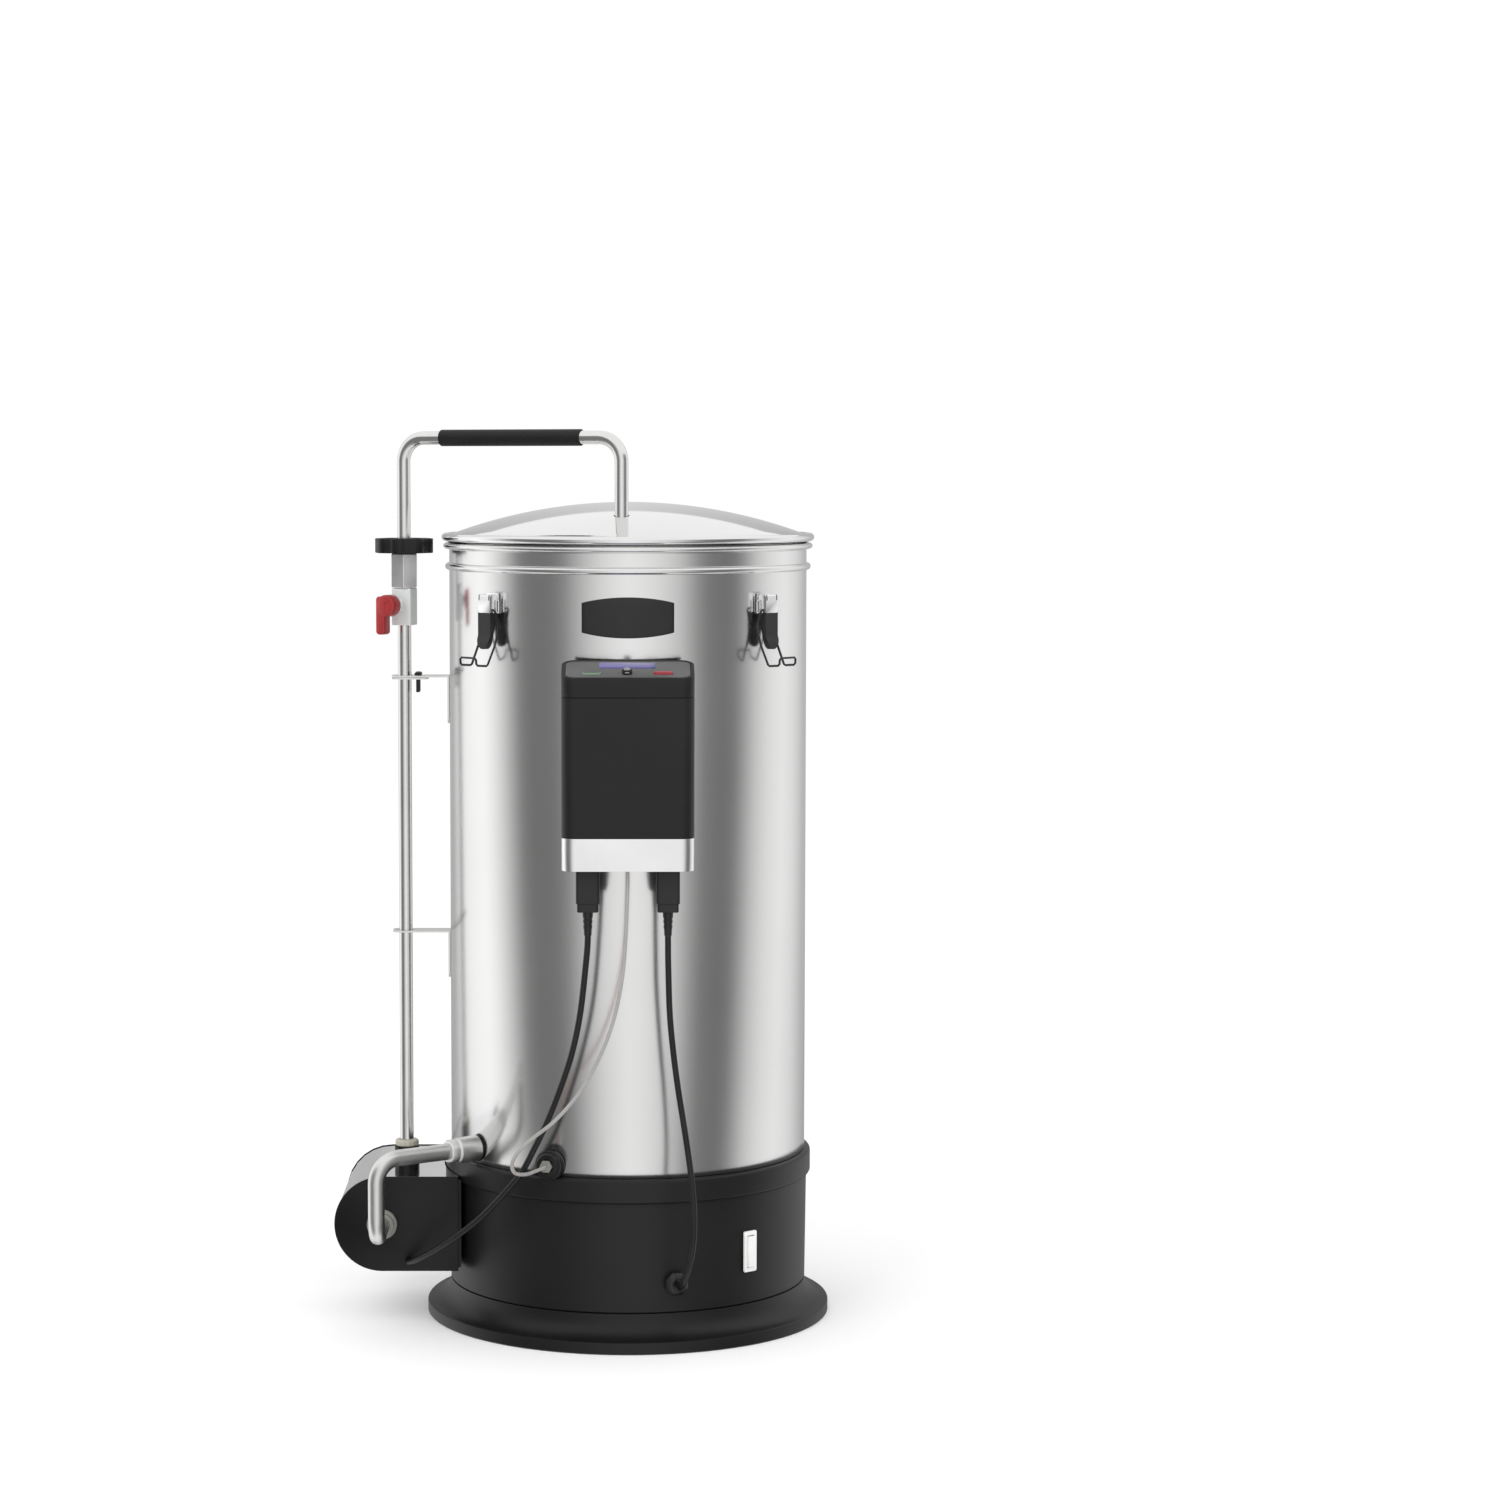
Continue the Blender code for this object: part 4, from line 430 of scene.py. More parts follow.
def facing(x, y, z):
    """A frame with X to the right, Y up and Z towards the front."""
    place = outward(0.0, 0.0, 0.0)
    place.translation = (x, y, z)
    return place


def arc(x, y, radius, start, end, steps=8):
    """Corners along an arc, angles in degrees."""
    turns = [math.radians(start + (end - start) * k / steps) for k in range(steps + 1)]
    return [(x + radius * math.cos(t), y + radius * math.sin(t)) for t in turns]


def bead(radius, low, high, bulge, steps=10):
    """A rolled bead on a vertical wall, from low to high."""
    middle, half = 0.5 * (low + high), 0.5 * (high - low)
    turns = [math.pi * (k / steps - 0.5) for k in range(steps + 1)]
    return [(radius + bulge * math.cos(t), middle + half * math.sin(t)) for t in turns]


# ---- cords ----------------------------------------------------------------
PUMP_CORD = [
    (-0.03305, -0.1840, 0.3594), (-0.0332, -0.1840, 0.3480), (-0.0345, -0.1838, 0.3320),
    (-0.0392, -0.1826, 0.2903), (-0.0460, -0.1806, 0.2566), (-0.0560, -0.1775, 0.2253),
    (-0.0672, -0.1725, 0.1963), (-0.0782, -0.1665, 0.1725), (-0.0885, -0.1600, 0.1520),
    (-0.1030, -0.1530, 0.1330), (-0.1223, -0.1430, 0.1110), (-0.1440, -0.1280, 0.0910),
    (-0.1650, -0.1090, 0.0740), (-0.1810, -0.0925, 0.0625), (-0.1885, -0.0815, 0.0580),
    (-0.1890, -0.0753, 0.0575)]
HEATER_CORD = [
    (0.03305, -0.1840, 0.3594), (0.0331, -0.1840, 0.3480), (0.0333, -0.1840, 0.3300),
    (0.0345, -0.1842, 0.2905), (0.0375, -0.1850, 0.2573), (0.0415, -0.1862, 0.2266),
    (0.0456, -0.1876, 0.2008), (0.0498, -0.1892, 0.1734), (0.0530, -0.1905, 0.1480),
    (0.0548, -0.1915, 0.1227), (0.0542, -0.1918, 0.1000), (0.0512, -0.1895, 0.0800),
    (0.0468, -0.1812, 0.0640), (0.0435, -0.1708, 0.0572), (0.0422, -0.1608, 0.0560)]
SENSOR_CORD = [
    (-0.0003, -0.1910, 0.4087), (-0.0003, -0.1910, 0.3960), (-0.0011, -0.1918, 0.3713),
    (-0.0028, -0.1930, 0.3390), (-0.0058, -0.1938, 0.3130), (-0.0125, -0.1950, 0.2830),
    (-0.0235, -0.1963, 0.2545), (-0.0394, -0.1970, 0.2260), (-0.0600, -0.1962, 0.2020),
    (-0.0780, -0.1925, 0.1870), (-0.0905, -0.1870, 0.1745), (-0.0960, -0.1805, 0.1630),
    (-0.0940, -0.1740, 0.1540), (-0.0855, -0.1660, 0.1510), (-0.0755, -0.1585, 0.1530),
    (-0.0694, -0.1516, 0.1544)]


def lead(name, points, radius, look, slot, stands_for):
    """A cord on one smooth curve through its points, held at both ends."""
    points = [Vector(point) for point in points]
    ends = [2.0 * points[0] - points[1]] + points + [2.0 * points[-1] - points[-2]]
    route = [points[0]]
    for p0, p1, p2, p3 in zip(ends, ends[1:], ends[2:], ends[3:]):
        for step in range(1, 7):
            t = step / 6
            route.append(0.5 * (2.0 * p1 + (p2 - p0) * t + (2.0 * p0 - 5.0 * p1 + 4.0 * p2 - p3) * t ** 2
                                + (3.0 * p1 - p0 - 3.0 * p2 + p3) * t ** 3))
    curve = bpy.data.curves.new(name, "CURVE")
    curve.dimensions = "3D"
    curve.bevel_depth = radius
    curve.bevel_resolution = 5
    curve.use_fill_caps = True
    spline = curve.splines.new("POLY")
    spline.points.add(len(route) - 1)
    for point, place in zip(spline.points, route):
        point.co = (*place, 1.0)
    cord = bpy.data.objects.new(name, curve)
    bpy.context.collection.objects.link(cord)
    keep(cord, look, slot, "root", stands_for)


def plug(name, x):
    """A moulded plug: block, shoulder, grip ribs and a tapered strain relief."""
    place = at(x, PLUG_Y, CASE_LOW - GAP)
    body = rounded(name, (-0.0098, -0.00725, -0.028), (0.0098, 0.00725, 0.0), 0.0026, place, 0.0006)
    shoulder = rounded("plug_shoulder", (-0.0088, -0.0064, -0.035), (0.0088, 0.0064, -0.0275), 0.0022, place,
                       0.0008)
    nose = rounded("plug_nose", (-0.008, -0.0055, -0.001), (0.008, 0.0055, 0.012), 0.002, place)
    relief = turned("plug_relief", [
        (0.0027, -0.0550), (0.0031, -0.0545), (0.0033, -0.049), (0.0036, -0.0488), (0.0037, -0.0462),
        (0.0034, -0.0460), (0.0034, -0.0445), (0.0038, -0.0443), (0.0039, -0.0417), (0.0036, -0.0415),
        (0.0036, -0.0400), (0.0041, -0.0398), (0.0044, -0.0345), (0.0, -0.0345)], place, 24)
    return join(name, body, shoulder, nose, relief)


pump_plug = keep(plug("pump_plug_moulding", -PLUG_X), plug_black, "black_plastic", "root", "pump_plug")
heater_plug = keep(plug("heater_plug_moulding", PLUG_X), plug_black, "black_plastic", "root", "heater_plug")
lead("pump_lead", PUMP_CORD, MAINS_CORD, cord_black, "black_rubber", "pump_cord")
lead("heater_lead", HEATER_CORD, MAINS_CORD, cord_black, "black_rubber", "heater_cord")
lead("sensor_lead", SENSOR_CORD, PROBE_CORD, silicone_grey, "silicone", "sensor_cable")

# ---- base -----------------------------------------------------------------
EDGE = FOOT_RADIUS - 0.0012
flare = [(EDGE - (EDGE - SKIRT_RADIUS) * math.sin(t), SEAM_HEIGHT - 0.0196 * math.cos(t))
         for t in (math.radians(90.0 * k / 14) for k in range(15))]
keep(turned("foot", [
    (SKIRT_INNER + 0.0045, 0.0), (FOOT_RADIUS - 0.001, 0.0), (FOOT_RADIUS, 0.001), (FOOT_RADIUS, 0.0092),
    (FOOT_RADIUS - 0.0004, 0.0100), *flare, (SKIRT_INNER, SEAM_HEIGHT), (SKIRT_INNER, 0.0045),
    (SKIRT_INNER + 0.0045, 0.0045)], None, 160, True, 30.0), base_black, "black_plastic", "root", "foot_ring")
collar = BASE_HEIGHT - 0.021
keep(turned("skirt", [
    (SKIRT_INNER, 0.0306), (SKIRT_RADIUS - 0.0006, 0.0306), (SKIRT_RADIUS, 0.0314),
    (SKIRT_RADIUS + 0.0012, collar), (0.1590, collar + 0.0006),
    *arc(0.1584, collar + 0.0026, 0.0016, -80.0, 0.0, 4),
    *arc(0.1570, BASE_HEIGHT - 0.0030, 0.0030, 0.0, 90.0, 6),
    (0.1531, BASE_HEIGHT), (0.1531, BASE_HEIGHT - 0.005),
    (SKIRT_INNER - 0.002, BASE_HEIGHT - 0.006), (SKIRT_INNER - 0.002, 0.035), (SKIRT_INNER, 0.0345)],
    None, 160, True, 30.0), base_black, "black_plastic", "root", "base_skirt")

# ---- kettle and lid -------------------------------------------------------
INNER = KETTLE_RADIUS - WALL
keep(turned("kettle", [
    (0.0, SPIGOT_Z), (SPIGOT_RADIUS - 0.005, SPIGOT_Z), (SPIGOT_RADIUS, SPIGOT_Z + 0.0045),
    (SPIGOT_RADIUS, BASE_HEIGHT + 0.0003), (KETTLE_RADIUS - 0.0006, BASE_HEIGHT + 0.0004),
    (KETTLE_RADIUS, BASE_HEIGHT + 0.0012), (KETTLE_RADIUS, RIM_Z - 0.0247),
    *bead(KETTLE_RADIUS + 0.0001, RIM_Z - 0.0237, RIM_Z - 0.0173, 0.0035), (KETTLE_RADIUS, RIM_Z - 0.0163),
    (KETTLE_RADIUS, RIM_Z - 0.0062), *bead(KETTLE_RADIUS + 0.0012, RIM_Z - 0.0056, RIM_Z, 0.0040),
    (INNER, RIM_Z), (INNER, RIM_Z - 0.02), (INNER, 0.40), (INNER, BASE_HEIGHT + 0.0012),
    (SPIGOT_RADIUS - WALL, BASE_HEIGHT - 0.0008), (SPIGOT_RADIUS - WALL, SPIGOT_Z + 0.0052),
    (SPIGOT_RADIUS - 0.006, SPIGOT_Z + WALL), (0.0, SPIGOT_Z + WALL)], None, 192, False, 50.0),
    kettle_steel, "steel", "root", "kettle_shell")

edge = RIM_Z + GAP
RIM = KETTLE_RADIUS + 0.0020
top = edge + 0.0055 - math.sqrt(LID_DOME ** 2 - RIM ** 2)
dome = [(r, top + math.sqrt(LID_DOME ** 2 - r * r)) for r in (RIM * k / 24 for k in range(25))]
drop = INNER - 0.0010
inside = [(min(r, drop - WALL), z - WALL) for r, z in reversed(dome)]
lid = turned("lid", [
    *dome[:-1], (RIM - 0.0012, dome[-1][1] - 0.0004),
    *bead(RIM + 0.0008, edge + 0.0008, edge + 0.0078, 0.0038)[::-1],
    (RIM - 0.002, edge), (drop, edge), (drop, edge - 0.012), (drop - WALL, edge - 0.012),
    (drop - WALL, inside[0][1] - 0.0002), *inside[2:]], None, 192, False, 40.0)
cut(lid, turned("lid_hole", [(0.0, 0.65), (LID_HOLE, 0.65), (LID_HOLE, 0.76), (0.0, 0.76)],
                at(RETURN_X, RETURN_Y), 32))
keep(lid, lid_steel, "steel", "lid", "lid_dome")

# ---- grain basket ---------------------------------------------------------
wall = turned("basket_wall", [
    (0.1300, BASKET_Z), (0.1397, BASKET_Z), (0.1400, BASKET_Z + 0.0003), (0.1400, BASKET_TOP - 0.0032),
    (0.1403, BASKET_TOP - 0.0030), (0.1441, BASKET_TOP - 0.0030), (0.1445, BASKET_TOP - 0.0026),
    (0.1445, BASKET_TOP - 0.0004), (0.1441, BASKET_TOP), (0.1390, BASKET_TOP), (0.1390, BASKET_Z + 0.0010),
    (0.1300, BASKET_Z + 0.0010)], None, 144, True, 40.0)
legs = [rounded("basket_leg", (-0.006, -0.002, 0.1290), (0.006, 0.002, BASKET_Z + 0.0005), 0.0008,
                Matrix.Rotation(math.radians(turn), 4, "Z") @ at(0.1345)
                @ Matrix.Rotation(math.pi / 2, 4, "Z"))
        for turn in (30.0, 150.0, 270.0)]
keep(join("basket_wall", wall, *legs), inner_steel, "steel", "basket", "grain_basket")
for name, low, node in (("lower_sieve", 0.1813, "basket_bottom_plate"),
                        ("upper_sieve", 0.5600, "basket_top_plate")):
    keep(turned(name, [(0.0125, low), (0.1382, low), (0.1384, low + 0.0002), (0.1384, low + 0.0013),
                       (0.1382, low + 0.0015), (0.0125, low + 0.0015)], None, 144, True),
         sieve_steel, "steel", "basket", node)
keep(turned("overflow_tube", [
    (0.0112, 0.1780), (0.0122, 0.1780), (0.0122, 0.1831), (0.0178, 0.1831), (0.0180, 0.1834), (0.0180, 0.1843),
    (0.0178, 0.1846), (0.0122, 0.1846), (0.0122, 0.5757), (0.0120, 0.5760), (0.0112, 0.5760)], None, 48, True),
    pipe_steel, "steel", "basket", "overflow_pipe")

# ---- return pipe, nut, coupling and valve ---------------------------------
keep(pipe("return_bow", [(RISER_X, 0.0, HEX_TOP - 0.012), (RISER_X, 0.0, BAR_Z), (RETURN_X, RETURN_Y, BAR_Z),
                         (RETURN_X, RETURN_Y, RIM_Z - 0.055)], PIPE_RADIUS, 0.0205, 0.001, 40, 16),
     pipe_steel, "steel", "return_pipe", "return_pipe")
along = (at(0.5 * (RISER_X + RETURN_X), 0.5 * RETURN_Y, BAR_Z)
         @ Matrix.Rotation(math.atan2(RETURN_Y, RETURN_X - RISER_X), 4, "Z")
         @ Matrix.Rotation(math.radians(90.0), 4, "Y"))
keep(turned("grip", [
    (0.00605, -GRIP_HALF), (0.0066, -GRIP_HALF), (0.0071, -0.0674), (0.0071, 0.0674), (0.0066, GRIP_HALF),
    (0.00605, GRIP_HALF)], along, 40, True), grip_rubber, "black_rubber", "return_pipe", "grip_sleeve")


def hand_nut():
    """A flat disc whose rim is pushed in and out into lobes; a shallow dish leaves a hub."""
    nut = add(bpy.ops.mesh.primitive_cylinder_add, "hand_nut", vertices=96, radius=0.0247, depth=0.0127,
              location=(0.0, 0.0, KNOB_TOP - 0.00635))
    mesh = bmesh.from_edit_mesh(nut.data)
    for vert in mesh.verts:
        turn = math.atan2(vert.co.y, vert.co.x)
        swell = 0.996 + 0.036 * math.tanh(2.2 * math.cos(8.0 * turn + math.pi / 2))
        vert.co.x *= swell
        vert.co.y *= swell
    bmesh.update_edit_mesh(nut.data)
    close(nut, at(RISER_X), 0.0007, 40.0)
    cut(nut, turned("nut_dish", [
        (0.0095, KNOB_TOP - 0.0016), (0.0200, KNOB_TOP - 0.0016), (0.0200, KNOB_TOP + 0.01),
        (0.0095, KNOB_TOP + 0.01)], at(RISER_X), 48, True))
    cut(nut, turned("nut_bore", [(0.0, 0.60), (0.0061, 0.60), (0.0061, 0.70), (0.0, 0.70)], at(RISER_X), 32))
    return nut


keep(hand_nut(), knob_black, "black_plastic", "wing_nut", "wing_nut")


def coupling():
    """A hexagon with chamfered ends and a bored middle."""
    corner = 0.0108 / math.cos(math.pi / 6)
    shape = turned("coupling", [
        (0.0, 0.0), (corner - 0.0012, 0.0), (corner, 0.0008), (corner, 0.0292), (corner - 0.0012, 0.030),
        (0.0, 0.030)], None, 6)
    bpy.ops.object.mode_set(mode="EDIT")
    close(shape, at(RISER_X, 0.0, HEX_TOP - 0.030) @ Matrix.Rotation(math.radians(30.0), 4, "Z"), 0.0003)
    cut(shape, turned("bore", [(0.0, 0.60), (0.00605, 0.60), (0.00605, 0.70), (0.0, 0.70)], at(RISER_X), 32))
    return shape


keep(coupling(), hex_steel, "steel", "root", "hex_coupling")
STEM = at(RISER_X) @ outward(-30.0, 0.0, VALVE_Z)
body = rounded("valve_housing", (-0.0089, -0.0089, VALVE_BOTTOM), (0.0089, 0.0089, VALVE_TOP), 0.0012,
               at(RISER_X) @ Matrix.Rotation(math.radians(-16.0), 4, "Z"), 0.0006)
boss = turned("valve_boss", [
    (0.0, 0.0060), (0.0062, 0.0060), (0.0062, 0.0120), (0.0056, 0.0128), (0.0050, 0.0130), (0.0050, 0.0158),
    (0.0033, 0.0160), (0.0033, 0.0080), (0.0, 0.0080)], STEM, 32)
keep(join("valve_housing", body, boss), valve_steel, "chrome", "root", "valve_body")


def lever():
    """The dipped valve lever: a round hub with a bent, round-ended arm."""
    hub_place = STEM @ at(0.0, 0.0, 0.025)
    hub = turned("lever_coating", [
        (0.0, -0.0058), (0.0086, -0.0058), (0.0094, -0.0050), (0.0095, -0.0040), (0.0095, 0.0042),
        (0.0090, 0.0054), (0.0080, 0.0060), (0.0036, 0.0060), (0.0030, 0.0052), (0.0, 0.0050)], hub_place, 40)
    arm = rounded("lever_arm", (-0.0095, -0.025, -0.004), (-0.0005, 0.0080, 0.0058), 0.0030, hub_place, 0.0012)
    return join("lever_coating", hub, arm)


keep(lever(), red_dip, "red_coat", "valve", "valve_lever")
keep(pipe("riser", [(RISER_X, 0.0, 0.1256), (RISER_X, 0.0, VALVE_BOTTOM + 0.0057)], 0.0059, 0.0),
     pipe_steel, "steel", "root", "riser_pipe")

# ---- pump box and inlet ---------------------------------------------------
face = facing(0.0, 0.0, PUMP_Z)


def pump_shape(name, low, high, inset):
    """The box's outline from the front: a half round on the left."""
    half = PUMP_ARC - inset
    return rounded(name, (PUMP_X - half, -half, low), (PUMP_RIGHT, half, high),
                   half - 0.00001, face, 0.0004, 28, lambda end: end.x < PUMP_X)


keep(pump_shape("pump_face", 0.0735, 0.0750, 0.0), pump_black, "black_plastic", "root", "pump_front_plate")
keep(turned("union_nut", [
    (0.0072, 0.0740), (0.0083, 0.0740), (0.0083, 0.0753), (0.0130, 0.0753), (0.0130, 0.0778), (0.0124, 0.0786),
    (0.0112, 0.0789), (0.0106, 0.0793), (0.0106, 0.0836), (0.0098, 0.0843), (0.0072, 0.0843)],
    facing(PUMP_X, 0.0, PUMP_Z), 48, True), union_grey, "grey_fitting", "root", "inlet_union")
azimuth = math.degrees(math.atan2(PUMP_X, -INLET_Y))
PORT = outward(azimuth, KETTLE_RADIUS, OUTLET_Z)
keep(pipe("suction_pipe", [PORT @ Vector((0.0, 0.0, 0.004)), (PUMP_X, INLET_Y, OUTLET_Z),
                           (PUMP_X, INLET_Y, PUMP_Z), (PUMP_X, PUMP_FRONT + 0.006, PUMP_Z)],
          0.0070, 0.020, 0.001, 40, 14),
     fitting_steel, "steel", "root", "inlet_pipe")
keep(turned("port_sleeve", [
    (0.0072, -0.004), (0.0085, -0.004), (0.0085, 0.0015), (0.0110, 0.0015), (0.0110, 0.0022), (0.0110, 0.0030),
    (0.0110, 0.0200), (0.0108, 0.0212), (0.0101, 0.0222), (0.0099, 0.0232), (0.0099, 0.0288), (0.0090, 0.0303),
    (0.0072, 0.0305)], PORT, 48, True), fitting_steel, "steel", "root", "outlet_port")

keep(turned("port_ring", [
    (0.0095, 0.0001), (0.0111, 0.0001), (0.0112, 0.0003), (0.0112, 0.0014), (0.0095, 0.0014)], PORT, 48, True),
    coated_black, "black_rubber")

# ---- controller -----------------------------------------------------------
MIDDLE = 0.5 * (CASE_FRONT + CASE_BACK)
PANEL = at(0.0, MIDDLE, CASE_TOP + 0.023 * math.tan(CASE_SLOPE)) @ Matrix.Rotation(CASE_SLOPE, 4, "X")
half_width = 0.5 * CASE_WIDTH


def storey(name, low, high, edge):
    return rounded(name, (-half_width, CASE_FRONT, low), (half_width, CASE_BACK, high), CASE_CORNER, None,
                   edge, 12)


keep(storey("case_band", CASE_LOW, CASE_BAND, 0.0004), band_alu, "aluminium", "root", "controller_band")
shell = storey("case_shell", CASE_BAND + GAP, CASE_SEAM - GAP, 0.0004)
pad = rounded("case_pad", (-0.039, CASE_BACK - 0.001, 0.449), (0.039, -0.1503, 0.5475), 0.0, None, 0.001)
keep(shell, case_black, "black_plastic", "root", "controller_shell")
# The pad's mid grey is painted sheen on black plastic.
keep(pad, pad_painted_sheen, "black_plastic")


def cap():
    """The sloped cap: a storey bisected at the panel's slope, its top sunk for the panel."""
    piece = add(bpy.ops.mesh.primitive_cube_add, "case_cap", size=1.0,
                location=(0.0, MIDDLE, 0.5 * (CASE_SEAM + CASE_TOP + 0.05)),
                scale=(CASE_WIDTH, 0.046, CASE_TOP + 0.05 - CASE_SEAM))
    pick("edges", lambda ends: abs(ends[0].z - ends[1].z) > 1e-5)
    bpy.ops.mesh.bevel(offset=CASE_CORNER, segments=12, affect="EDGES")
    bpy.ops.mesh.select_all(action="SELECT")
    bpy.ops.mesh.bisect(plane_co=PANEL.translation, plane_no=PANEL.to_3x3() @ Vector((0.0, 0.0, 1.0)),
                        use_fill=True, clear_outer=True)
    flat = PANEL.inverted()
    pick("faces", lambda ends: all(abs((flat @ end).z) < 1e-5 for end in ends))
    bpy.ops.mesh.inset(thickness=0.0028)
    bpy.ops.mesh.inset(thickness=0.0002, depth=-0.0014)
    return close(piece, None, 0.0006, 40.0)


keep(cap(), case_black, "black_plastic", "root", "controller_cap")
keep(rounded("display_window", (-0.0237, 0.0025, -0.0012), (0.0227, 0.0165, 0.0001), 0.0008, PANEL, 0.0001),
     display_glass, "lcd", "root", "display")
BUTTON = (0.0078, 0.0025)


def pill(name, x, grow, low, high, edge=0.0003):
    wide, deep = BUTTON[0] + grow, BUTTON[1] + grow
    return rounded(name, (-wide, -deep, low), (wide, deep, high), deep - 0.00002,
                   PANEL @ at(x, -0.011, 0.0), edge, 8)


panel = rounded("control_panel", (-0.0512, -0.0205, -0.0014), (0.0512, 0.0205, -0.0002), 0.008, PANEL, 0.0002)
for x in (-0.0300, 0.0290):
    cut(panel, pill("well", x, 0.0003, -0.0030, 0.0020, 0.0))
keep(panel, panel_grey, "grey_panel", "root", "panel_plate")
keep(pill("start_key", -0.0300, 0.0, -0.0050, 0.0010), green_rim, "green_rim", "start_button", "start_button")
keep(pill("start_key_face", -0.0300, -0.00045, -0.0002, 0.0012, 0.0002), panel_grey, "grey_panel",
     "start_button")
keep(pill("stop_key", 0.0290, 0.0, -0.0050, 0.0012), red_key, "red_coat", "stop_button", "stop_button")
KEY = PANEL @ at(-0.0007, -0.011, 0.0)
key = turned("select_key", [
    (0.0, -0.0050), (0.0041, -0.0050), (0.0042, 0.0002), (0.0042, 0.0028), (0.0039, 0.0034), (0.0032, 0.0037),
    (0.0, 0.0038)], KEY, 40)
keep(key, plug_black, "black_plastic", "select_button", "select_button")
bars = [rounded(f"select_bar_{k}", (-wide, y - 0.0004, 0.0030), (wide, y + 0.0004, 0.0040), 0.0, KEY, 0.0002)
        for k, (y, wide) in enumerate(((-0.0021, 0.0024), (0.0006, 0.0032), (0.0030, 0.0018)))]
bars.append(rounded("select_bar_front", (-0.0018, -0.0044, 0.0014), (0.0018, -0.0036, 0.0021), 0.0, KEY,
                    0.0002))
keep(join("select_bars", *bars), chrome, "chrome", "select_button")

# ---- badge ----------------------------------------------------------------
BADGE_Z = 0.6145


def badge(name, wide, high, low, proud, corner):
    """A plate wrapped on the kettle's wall: an arc-shaped block with bowed long sides."""
    piece = add(bpy.ops.mesh.primitive_grid_add, name, x_subdivisions=24, y_subdivisions=8, size=1.0)
    bpy.ops.transform.resize(value=(wide, high, 1.0))
    mesh = bmesh.from_edit_mesh(piece.data)
    for vert in mesh.verts:
        x, y = vert.co.x, vert.co.y
        s = 2.0 * x / wide
        bow = 0.0044 * (1.0 - s * s)
        pinch = 1.0 - corner * s ** 8
        y = y * pinch + math.copysign(bow, y) * min(1.0, abs(2.0 * y / high))
        a = x / KETTLE_RADIUS
        r = KETTLE_RADIUS + low
        vert.co = (r * math.sin(a), -r * math.cos(a), BADGE_Z + y)
    bmesh.update_edit_mesh(piece.data)
    bpy.ops.mesh.select_all(action="SELECT")
    bpy.ops.mesh.normals_make_consistent(inside=False)
    bpy.ops.object.mode_set(mode="OBJECT")
    front = piece.data.polygons[0].normal
    modify(piece, "SOLIDIFY", thickness=proud, offset=1.0 if front.y < 0.0 else -1.0)
    modify(piece, "BEVEL", width=0.0002, segments=2, limit_method="ANGLE", angle_limit=math.radians(40.0))
    bpy.ops.object.shade_smooth_by_angle(angle=math.radians(35.0))
    return piece


keep(badge("badge_back", 0.0770, 0.0250, 0.0003, 0.0009, 0.02), badge_black, "black_plastic", "root",
     "badge_plate")

# ---- switch, gland, sensor ------------------------------------------------
SWITCH = outward(40.9, SKIRT_RADIUS + 0.0012, 0.0758)
bezel = rounded("switch_bezel", (-0.0070, -0.0175, 0.0004), (0.0070, 0.0175, 0.0024), 0.0016, SWITCH, 0.0004)
cut(bezel, rounded("switch_well", (-0.00415, -0.0139, -0.002), (0.00415, 0.0139, 0.006), 0.0004, SWITCH, 0.0))
keep(bezel, switch_white, "white_plastic", "root", "switch_frame")


def rocker():
    """A rocker key with a shallow V face."""
    piece = add(bpy.ops.mesh.primitive_cube_add, "rocker_key", size=1.0, location=(0.0, 0.0, 0.0002),
                scale=(0.0080, 0.0262, 0.0088))
    bpy.ops.mesh.bisect(plane_co=(0.0, 0.0, 0.0), plane_no=(0.0, 1.0, 0.0))
    pick("verts", lambda ends: ends[0].z > 0.0 and abs(ends[0].y) < 1e-4)
    bpy.ops.transform.translate(value=(0.0, 0.0, -0.0008))
    return close(piece, SWITCH, 0.0003)


keep(rocker(), switch_white, "white_plastic", "rocker_switch", "rocker_switch")
GLAND = outward(14.7, SKIRT_RADIUS + 0.0012, 0.0560)
corner = 0.0094 / math.cos(math.pi / 8)
keep(turned("cord_gland", [
    (0.0029, 0.0004), (corner, 0.0004), (corner, 0.0060), (corner - 0.0030, 0.0088), (0.0052, 0.0092),
    (0.0046, 0.0086), (0.0029, 0.0086)], GLAND @ Matrix.Rotation(math.pi / 8, 4, "Z"), 8, True),
    coated_black, "black_plastic", "root", "heater_gland")
SENSOR = outward(-24.6, KETTLE_RADIUS, 0.1544)
keep(turned("sensor_seal", [
    (0.0035, 0.0003), (0.0130, 0.0003), (0.0130, 0.0042), (0.0121, 0.0056), (0.0108, 0.0060), (0.0104, 0.0074),
    (0.0096, 0.0082), (0.0060, 0.0086), (0.0056, 0.0076), (0.0035, 0.0076)], SENSOR, 48, True),
    coated_black, "black_rubber", "root", "sensor_boss")


# ---- latches --------------------------------------------------------------
def clip_grip(name, wall):
    """The lever's dipped end: a block that thins from behind, flares out and ends round."""
    piece = add(bpy.ops.mesh.primitive_cube_add, name, size=1.0)
    bpy.ops.mesh.subdivide(number_cuts=15)
    mesh = bmesh.from_edit_mesh(piece.data)
    for vert in mesh.verts:
        down = 0.5 - vert.co.y
        thin = min(1.0, down / 0.8)
        flare = max(0.0, (down - 0.62) / 0.38)
        end = max(0.0, (down - 0.64) / 0.36)
        back = 0.0030 + 0.0052 * thin * thin * (3.0 - 2.0 * thin)
        front = 0.0111 + 0.0022 * math.sin(flare * math.pi * 0.62)
        wide = 0.0079 * math.sqrt(1.0 - (0.96 * end) ** 2)
        vert.co = (2.0 * vert.co.x * wide, -0.0113 - 0.0300 * down, back + (front - back) * (vert.co.z + 0.5))
    bmesh.update_edit_mesh(piece.data)
    return close(piece, wall, 0.0009, 40.0)


